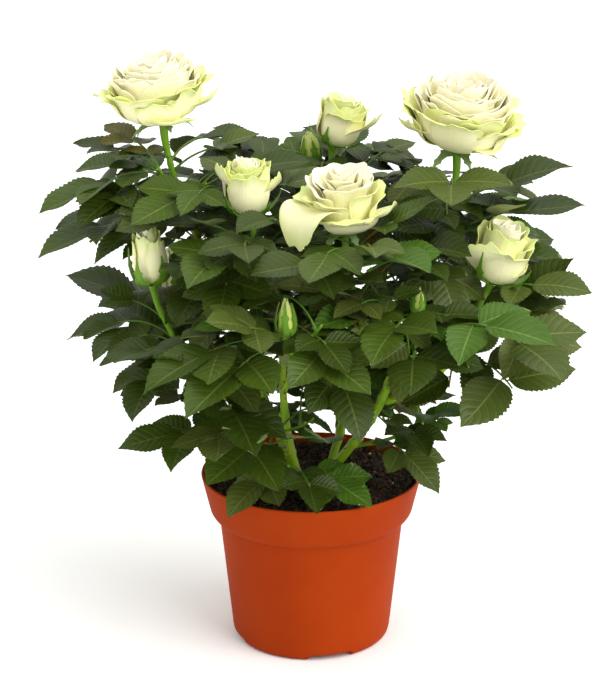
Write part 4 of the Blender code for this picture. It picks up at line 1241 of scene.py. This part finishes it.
def make_prickles(limbs, stalks):
    """Small hooked prickles: bent cones on broad feet, aimed out and a little down.

    Up each, t from 0 to 1, its place is root + size * (out * t + down * 0.45 t^2).
    """
    rng = np.random.default_rng(404)
    roots = []
    outs = []
    downs = []
    sizes = []
    bearers = [(limb, *PRICKLES["limb"]) for limb in limbs]
    bearers += [(stalk, *PRICKLES["stalk"]) for stalk in stalks]
    for limb, gap, size in bearers:
        path, length = limb.smooth_path(40)
        for share in np.arange(0.08, 0.82, gap / length) + rng.uniform(-0.02, 0.02):
            i = int(share * 38)
            along = unit(path[i + 1] - path[i])
            turn = rng.uniform(0, 2 * math.pi)
            side = unit(np.cross(along, [math.cos(turn), math.sin(turn), 0.3]))
            radius = mix(limb.radii[0], limb.radii[-1], share)
            roots.append(path[i] + side * radius * 0.8)
            outs.append(side)
            downs.append(-along)
            sizes.append(size * rng.uniform(0.6, 1.1))
    roots, outs, downs = (np.array(item)[:, None] for item in (roots, outs, downs))
    size = np.array(sizes)[:, None, None]
    t = np.linspace(0.0, 1.0, 6)[None, :, None]
    paths = roots + size * (outs * t + downs * 0.45 * t * t)
    radii = size[..., 0] * 0.34 * (1 - t[..., 0]) ** 1.3 + 0.03
    shape = Shape()
    shape.add(*tubes(paths, radii, 6))
    horn = stem_finish("prickle_horn", "#8E5A2A", "#8A2F1C", 0.9)
    shape.make("prickles", [horn], [])


def stalk_paths(rachises, count):
    """Smooth leaf stalks: the cubic through each rachis's four points, sampled count times."""
    at = np.linspace(0.0, 3.0, count)
    weights = []
    for i in range(4):
        rest = [j for j in range(4) if j != i]
        weights.append(np.prod([(at - j) / (i - j) for j in rest], axis=0))
    return np.einsum("im,nik->nmk", np.array(weights), rachises)


# ---------------------------------------------------------------- foliage

# Leaf tints: name, blade, veins and roughness. The first PLAIN_TINTS go from darkest to palest
LEAF_FINISHES = [
    ("leaf_deep_green", "#314209", "#64702E", 0.42),
    ("leaf_mid_green", "#3F540F", "#76843E", 0.44),
    ("leaf_dull_green", "#4B5A1F", "#808A4C", 0.40),
    ("leaf_olive_green", "#566024", "#8A9256", 0.42),
    ("leaf_young_green", "#436418", "#7E9646", 0.42),
    ("leaf_new_bronze", "#5A5618", "#8A8240", 0.42),
]
PLAIN_TINTS = 4
YOUNG_TINT = 4
BRONZE_TINT = 5
YOUNG_LOW = 0.42  # the share of young green leaves on the low shoots, near the top, and between
YOUNG_HIGH = 0.05
YOUNG_BETWEEN = 0.15
HIGH = 150.0
BRONZE_FROM = 0.9
DARK_ABOVE = 215.0  # leaves whose stalks start above this are mostly the darker greens
NEW_LEAFLET = 24.0  # new leaves, with a shorter end leaflet than this, may be bronze
LARGE_LEAFLET = 26.0
BLADE_ROWS = (("large", 28, 11), ("small", 18, 12))  # rows along a leaflet, and the seed


def group_of(name):
    """Which joined leaf piece a shoot's leaves go into."""
    for word in ("low", "back", "left", "right"):
        if word in name:
            return word
    return "middle"


def make_leaves(leaves):
    """All leaflets, joined by part of the bush, with a tint dealt out to each leaf."""
    rng = np.random.default_rng(77)
    tops = [leaf_finish(*spec) for spec in LEAF_FINISHES]
    under = len(tops)
    groups = {}
    for name, own in leaves.items():
        group = groups.setdefault(group_of(name), {"nodes": [], "large": [], "small": []})
        group["nodes"].append(name)
        for path, kept in own:
            draw = rng.uniform()
            height = path[0][2]
            young = YOUNG_LOW if "low" in name else YOUNG_HIGH if height > HIGH else YOUNG_BETWEEN
            new = kept[0][3] < NEW_LEAFLET and draw > BRONZE_FROM
            darkest = rng.integers(0, PLAIN_TINTS, 3)
            plain = int(darkest.min() if height > DARK_ABOVE else darkest[0])
            tint = YOUNG_TINT if draw < young else BRONZE_TINT if new else plain
            for leaflet in kept:
                group["large" if leaflet[3] > LARGE_LEAFLET else "small"].append((leaflet, tint))
    finishes = tops + [underside_finish("leaf_underside", "#88965A")]
    for key, group in groups.items():
        shape = Shape()
        for size, rows, seed in BLADE_ROWS:
            if not group[size]:
                continue
            leaflets = [item[0] for item in group[size]]
            tints = np.array([item[1] for item in group[size]])
            points, faces, uv = leaf_blades(rows, leaflets, seed + len(leaflets))
            upper = [np.repeat(tints, len(part) // len(tints)) for part in faces[:2]]
            shape.add(points, faces, uv, upper + [under, under])
        shape.make(f"leaf_blades_{key}", finishes, group["nodes"], sharp=70)


def make_stems(limbs, shoots, stalks, twigs, leaves):
    """Shoots, twigs and leaf stalks in one piece, then canes and boughs, flower stalks, prickles."""
    stems = Shape()
    rng = np.random.default_rng(78)
    all_twigs = [twig for own in twigs.values() for twig in own]
    limb_mesh(stems, shoots.values(), rng, rows=56, sides=12, sink=1.2)
    limb_mesh(stems, all_twigs, rng, rows=20, sides=8, sink=1.0)
    rachises = [path for own in leaves.values() for path, _ in own]
    paths = stalk_paths(np.array(rachises), STALK_ROWS)
    t = np.linspace(0.0, 1.0, STALK_ROWS)
    radii = 0.62 + 0.75 * np.exp(-t * 14) - 0.12 * t
    stems.add(*tubes(paths, np.broadcast_to(radii, (len(paths), STALK_ROWS)), 6), 1)
    leaflets = [leaflet for own in leaves.values() for _, kept in own for leaflet in kept]
    root, along, _, full, _ = (np.array(item, float) for item in zip(*leaflets))
    t = np.linspace(0.0, 0.075, 4)[None, :, None]
    ribs = root[:, None] + units(along)[:, None] * full[:, None, None] * t
    stems.add(*tubes(ribs, np.broadcast_to([0.5, 0.42, 0.36, 0.2], (len(ribs), 4)), 5), 1)
    twig_green = stem_finish("young_stem", "#689618", "#8A4A22", 0.5)
    stalk_green = stem_finish("leaf_stalk", "#4E7424", "#7E3F20", 0.8)
    stems.make("twigs_and_leaf_stalks", [twig_green, stalk_green], list(shoots))

    wood = Shape()
    limb_mesh(wood, limbs.values(), rng, rows=64, sides=16, sink=1.4)
    bark = stem_finish("green_cane_bark", "#8CB41C", "#8A6A26", 0.35)
    wood.make("canes_and_boughs", [bark], list(limbs))

    necks = Shape()
    limb_mesh(necks, stalks.values(), rng, rows=40, sides=14, sink=0.8, hip=True)
    neck_green = stem_finish("flower_stalk", "#74A420", "#8A5A20", 0.3)
    necks.make("flower_stalks", [neck_green], list(stalks))
    make_prickles(limbs.values(), stalks.values())


# ---------------------------------------------------------------- blooms

PETAL_ROWS = 12
PETAL_COLUMNS = 19
FLARE_ROWS = 18
FLARE_COLUMNS = 17
SEPALS = 5
SEPAL_ROWS = 14
SEPAL_COLUMNS = 5
TIGHT = 0.1  # opened less than this, a bud's petals are green
HALF_OPEN = 0.5

# At each stage of opening: petal count, power of rank, inner and outer shares of half width for the
# belly and for the top, of height for the top, curl as a share of half width, half wrap in radians
STAGES = [
    (0.0, (8, 1.0, 0.25, 0.90, 0.06, 0.20, 1.00, 0.92, 0.00, 2.2, 1.5)),
    (0.15, (16, 1.2, 0.22, 0.97, 0.06, 0.64, 1.02, 0.86, 0.13, 2.2, 0.92)),
    (0.4, (20, 1.7, 0.18, 0.92, 0.08, 0.84, 1.00, 0.82, 0.20, 2.1, 0.95)),
    (0.7, (28, 2.0, 0.13, 0.72, 0.10, 0.92, 1.00, 0.46, 0.18, 1.9, 0.78)),
    (1.0, (58, 0.85, 0.10, 0.84, 0.08, 0.98, 1.06, 0.64, 0.11, 1.5, 0.50)),
]

# Petals that have dropped open: their compass turn from +X in degrees, their reach, the heights of
# their crest and of their end above the flower's base, and half their width
FLARES = {
    "bloom_centre": [
        (218.0, 31.0, 12.0, -6.0, 17.0), (338.0, 25.0, 5.0, 13.0, 13.0), (268.0, 24.0, 3.0, 9.0, 14.0),
    ],
    "bloom_middle_top": [(340.0, 25.0, 7.0, 17.0, 12.0), (20.0, 17.0, 3.0, 20.0, 9.0)],
    "bloom_right_top": [(306.0, 27.0, 2.0, 1.0, 10.0), (200.0, 30.0, 7.0, 16.0, 13.0)],
    "bloom_left_top": [(345.0, 28.0, 6.0, 16.0, 12.0), (285.0, 26.0, 0.0, 4.0, 13.0)],
    "bloom_right": [(345.0, 18.0, 2.0, 8.0, 9.0), (250.0, 17.0, 10.0, 24.0, 11.0)],
    "bloom_left_middle": [(205.0, 16.0, 12.0, 27.0, 9.0), (338.0, 15.5, 9.0, 21.0, 9.0)],
    "bloom_back": [(60.0, 21.0, 4.0, 6.0, 12.0)],
}


def stage_at(opened):
    """The opening stage's numbers, blended between the two nearest stages."""
    for (low, a), (high, b) in zip(STAGES, STAGES[1:]):
        if opened <= high:
            t = (opened - low) / (high - low)
            return [mix(x, y, t) for x, y in zip(a, b)]
    return list(STAGES[-1][1])


def bloom_frame(facing):
    """Two sides and the axis of a flower that faces this way."""
    axis = unit(facing)
    side = unit(np.cross(axis, [0.0, 1.0, 0.1]))
    return side, np.cross(axis, side), axis


def make_petals(shape, base, facing, width, height, opened, seed):
    """A flower head of petals set round its axis by the golden angle, from a tight heart outward.

    Up each petal, v from 0 to 1, its radius and height run on a cubic from the cup, out to the belly
    and in or out to the top, and its last third curls out. Across it, u from -1 to 1 is an angle round
    the axis that widens from the claw. The corners are cut back by |u|^3, and sines ruffle the edge.
    """
    rng = np.random.default_rng(900 + seed)
    values = stage_at(opened)
    count = int(round(values[0]))
    power, b0, b1, t0, t1, z0, z1, curl, w0, w1 = values[1:]
    half = width / 2
    rank = ((np.arange(count) + 0.5) / count)[:, None, None]
    out = rank**power
    some = drawn(rng, count)
    loose = 0.04 + 0.08 * opened
    belly = half * mix(b0, b1, out) * some(1 - loose / 2, 1 + loose / 2)
    top = half * mix(t0, t1, out) * some(1 - loose, 1 + loose)
    tall = height * mix(z0, z1, out**2.6) * some(0.9, 1.03)
    turn = (GOLDEN * np.arange(count))[:, None, None] + some(-0.2, 0.2)
    wrap = mix(w0, w1, rank) * some(0.9, 1.1)
    u = np.linspace(-1, 1, PETAL_COLUMNS)[None, None, :]
    v = np.linspace(0, 1, PETAL_ROWS)[None, :, None]
    v = v * (1 - some(0.16, 0.26) * np.abs(u) ** 3 - 0.03 * np.cos(u * 9 + some(0, 6)) * rank * v)
    r = cubic(v, 1.3, belly * 1.15, belly * 1.06, top)
    z = cubic(v, 0.0, 0.04 * tall, 0.55 * tall, tall)
    tip = np.clip((v - 0.7) / 0.3, 0, 1)
    rolled = curl * half * (0.35 + 0.9 * rank) * some(0.5, 1.4) * (1 + 0.5 * u * u)
    r = r + rolled * tip**2
    z = z - rolled * 0.75 * tip**3
    ruffle = (0.3 + 1.1 * opened) * (0.4 + 0.6 * rank) * some(0.5, 1.5) * v**4
    beat = some(2.0, 4.5)
    crimp = 0.45 * ruffle * v**5 * np.sin(some(9, 15) * u + some(0, 6))
    r = r + ruffle * np.sin(beat * u * 1.6 + some(0, 6)) + crimp + 0.35 * u * (0.4 + rank)
    z = z + 0.8 * ruffle * np.cos(beat * u * 2.1 + some(0, 6)) + crimp
    angle = turn + u * wrap * (0.42 + 0.58 * np.sin(math.pi * np.clip(v * 0.62, 0, 1)))
    side, other, axis = bloom_frame(facing)
    lean = some(-1.0, 1.0) * 0.10 * opened
    z = z + r * lean
    radial = np.cos(angle)[..., None] * side + np.sin(angle)[..., None] * other
    sheet = summed(np.array(base), (z, axis), (r, radial))
    points, faces, uv = shells(sheet, 0.28 + 0.35 * (1 - v))
    outer_from = 0.55 if opened < HALF_OPEN else 0.78
    kinds = np.where(rank.ravel() < 0.3, 0, np.where(rank.ravel() < outer_from, 1, 2))
    if opened < TIGHT:
        kinds = np.full(count, 3)
    numbers = [np.repeat(kinds, len(part) // count) for part in faces]
    shape.add(points, faces, uv, numbers)


def make_flares(shape, name):
    """Petals that have dropped open: up each, v from 0 to 1, its place goes out and over on cubics.

    It leaves its flower's base at a compass turn, for reach, by way of a crest, to its end's height,
    and is half_width at its broadest, with its edges raised by the square of the way across.
    """
    rng = np.random.default_rng(600)
    base = np.array(BLOOMS[name][2], float)
    v = np.linspace(0, 1, FLARE_ROWS)[:, None]
    u = np.linspace(-1, 1, FLARE_COLUMNS)[None, :]
    for turn, reach, crest, end, half_width in FLARES.get(name, ()):
        far = v * (1 - 0.30 * np.abs(u) ** 4 - 0.02 * np.cos(u * 11 + rng.uniform(0, 6)))
        r = cubic(far, 1.3, reach * 0.55, reach * 1.02, reach)
        z = cubic(far, 0.0, crest * 1.5, crest * 1.2, end)
        y = u * half_width * np.sin(math.pi * (0.05 + 0.60 * v)) ** 0.6
        wave = 0.9 * far**3 * np.sin(u * rng.uniform(3, 5) + rng.uniform(0, 6))
        lift = 0.16 * y * y / half_width + wave
        out = compass(math.radians(turn))
        across = np.array([-out[1], out[0], 0.0])
        steep = (end - crest) / reach
        face = unit(out * max(-steep, 0.0) + UP)
        sheet = summed(base, (r, out), (y, across), (z, UP), (lift, face))
        points, faces, uv = shells(sheet[None], 0.3 + 0.3 * (1 - v))
        shape.add(points, faces, uv, [np.full(len(part), 2) for part in faces])


def make_sepals(shape, base, facing, width, height, opened, seed):
    """Five sepals with side lobes, hugging a bud, or spread and bent down under an open bloom."""
    rng = np.random.default_rng(300 + seed)
    some = drawn(rng, SEPALS)
    v = np.linspace(0, 1, SEPAL_ROWS)[None, :, None]
    u = np.linspace(-1, 1, SEPAL_COLUMNS)[None, None, :]
    half = width / 2
    if opened < 0.3:
        share = mix(1.0, 0.62, opened / 0.15) if opened < 0.15 else 0.62
        long = height * some(0.8, 1.02) * share
        spread = mix(some(0.35, 0.6), some(0.98, 1.08), share < 0.7)
        r = cubic(v, 1.4, half * 1.2, half * 1.12, half * spread)
        z = cubic(v, -0.5, 0.0, long * 0.5, long)
        broad = half * mix(0.34, 0.46, (share - 0.62) / 0.38)
    else:
        long = np.maximum(half * 0.6, 14.0) * some(0.85, 1.2)
        broad = 2.9
        if opened > 0.6:
            drop = long * some(-0.6, -0.05)
            r = cubic(v, 1.4, long * 0.4, long * 0.85, long)
            z = cubic(v, -0.6, -0.4, drop * 0.3 - 0.4, drop - 0.4)
        else:
            r = cubic(v, 1.4, half * 0.72, half * 1.02, half * some(0.98, 1.3))
            z = cubic(v, -0.6, -0.7, height * 0.14, height * some(0.25, 0.6))
    row = np.arange(SEPAL_ROWS)
    lobes = 1 + 0.75 * ((row % 4 == 1) & (row > 3))[None, :, None] * (np.abs(u) > 0.9)
    lance = np.sin(math.pi * np.clip(v, 0, 1) ** 0.55) ** 0.8 * (1 - 0.45 * v) + 0.06
    y = u * (broad * lance * lobes)
    even = (np.arange(SEPALS) * 2 * math.pi / SEPALS)[:, None, None]
    turn = even + rng.uniform(0, 2 * math.pi) + some(-0.15, 0.15)
    side, other, axis = bloom_frame(facing)
    radial = np.cos(turn)[..., None] * side + np.sin(turn)[..., None] * other
    tangent = -np.sin(turn)[..., None] * side + np.cos(turn)[..., None] * other
    cupped = r - (y * y) / np.maximum(r * 2.0, 3.0)
    sheet = summed(np.array(base), (z, axis), (cupped, radial), (y, tangent))
    shape.add(*shells(sheet, 0.35), [0, 1, 0])


def make_blooms():
    """Each flower's petals, those dropped open, and its sepals, joined by how far it has opened."""
    finishes = [
        petal_finish("petal_heart", "#F6E8A4", "#FEF4CA", "#FEF8E0"),
        petal_finish("petal_ivory", "#E6EA80", "#FCF6CC", "#FDFADE"),
        petal_finish("petal_outer", "#C0DC52", "#F8F5C2", "#E4EE9A"),
        petal_finish("petal_green_bud", "#B4CC4C", "#C8D868", "#DCE496"),
    ]
    green = [
        leaf_finish("sepal_green", "#6A9A26", "#9ABA54", 0.5),
        underside_finish("sepal_inside", "#8DA76A"),
    ]
    sepals = Shape()
    for piece, blown in (("petals_blown", True), ("petals_half_open", False)):
        petals = Shape()
        nodes = [name for name, spec in BLOOMS.items() if (spec[6] >= HALF_OPEN) == blown]
        for name in nodes:
            _, _, base, facing, width, height, opened, _, seed = BLOOMS[name]
            make_petals(petals, base, facing, width, height, opened, seed)
            make_flares(petals, name)
            make_sepals(sepals, base, facing, width, height, opened, seed)
        petals.make(piece, finishes, nodes, sharp=75)
    sepals.make("sepals", green, list(BLOOMS), sharp=75)


# ---------------------------------------------------------------- studio

CAMERA_DISTANCE = 1200.0
CAMERA_ELEVATION = 18.2
CAMERA_AIM_Z = 168.0
FOCAL = 134.46
SHIFT_X = -0.0188
SENSOR = 36.0
FLOOR_HALF = 6.0
CEILING = 1.55  # the brightness overhead, of which the surround below is a share
# The surround's brightness by the sine of the height above level
SURROUND = [(0.0, 0.66), (0.05, 0.66), (0.16, 0.32), (0.42, 0.32), (0.66, 0.97)]
KEY_FROM = (0.66, -0.46, 0.60)  # the way to the broad soft light, from the bush
KEY_STRENGTH = 2.35
KEY_SPREAD = 50.0


def make_camera(scene):
    """A long lens, a little above level, aimed at the middle of the bush."""
    rise = math.radians(CAMERA_ELEVATION)
    aim = Vector((0.0, 0.0, CAMERA_AIM_Z * MM))
    place = aim + Vector((0.0, -math.cos(rise), math.sin(rise))) * CAMERA_DISTANCE * MM
    data = bpy.data.cameras.new("camera")
    data.sensor_fit = "HORIZONTAL"
    data.sensor_width = SENSOR
    data.lens = FOCAL
    data.shift_x = SHIFT_X
    data.clip_start = 0.05
    camera = bpy.data.objects.new("camera", data)
    camera.location = place
    camera.rotation_euler = (aim - place).to_track_quat("-Z", "Y").to_euler()
    scene.collection.objects.link(camera)
    scene.camera = camera


def make_floor(scene):
    """A pale sheet of studio paper."""
    half = FLOOR_HALF
    mesh = bpy.data.meshes.new("floor")
    corners = [(-half, -half, 0.0), (half, -half, 0.0), (half, half, 0.0), (-half, half, 0.0)]
    mesh.from_pydata(corners, [], [(0, 1, 2, 3)])
    made, tree = start_material("studio_paper", roughness=0.9)
    tree.nodes["Principled BSDF"].inputs["Base Color"].default_value = linear("#FAFAF8")
    mesh.materials.append(made)
    floor = bpy.data.objects.new("floor", mesh)
    scene.collection.objects.link(floor)


def make_light(scene):
    """A studio that is bright overhead and at the floor's edge, and one broad soft light."""
    world = bpy.data.worlds.new("studio")
    world.use_nodes = True
    tree = world.node_tree
    way = add(tree, "TexCoord")
    split = add(tree, "SeparateXYZ", {"Vector": (way, "Generated")})
    level = add(tree, "ValToRGB", {"Fac": (split, "Z")}, SURROUND)
    backdrop = tree.nodes["Background"]
    tree.links.new(level.outputs["Color"], backdrop.inputs["Color"])
    backdrop.inputs["Strength"].default_value = CEILING
    scene.world = world
    lamp = bpy.data.lights.new("key", "SUN")
    lamp.energy = KEY_STRENGTH
    lamp.angle = math.radians(KEY_SPREAD)
    key = bpy.data.objects.new("key", lamp)
    key.rotation_euler = Vector(KEY_FROM).to_track_quat("Z", "Y").to_euler()
    scene.collection.objects.link(key)
    scene.view_settings.view_transform = "Standard"


make_camera(bpy.context.scene)
make_floor(bpy.context.scene)
make_light(bpy.context.scene)
make_pot()
make_compost()
limbs, shoots, stalks, twigs, leaves = grow_bush()
make_leaves(leaves)
make_stems(limbs, shoots, stalks, twigs, leaves)
make_blooms()
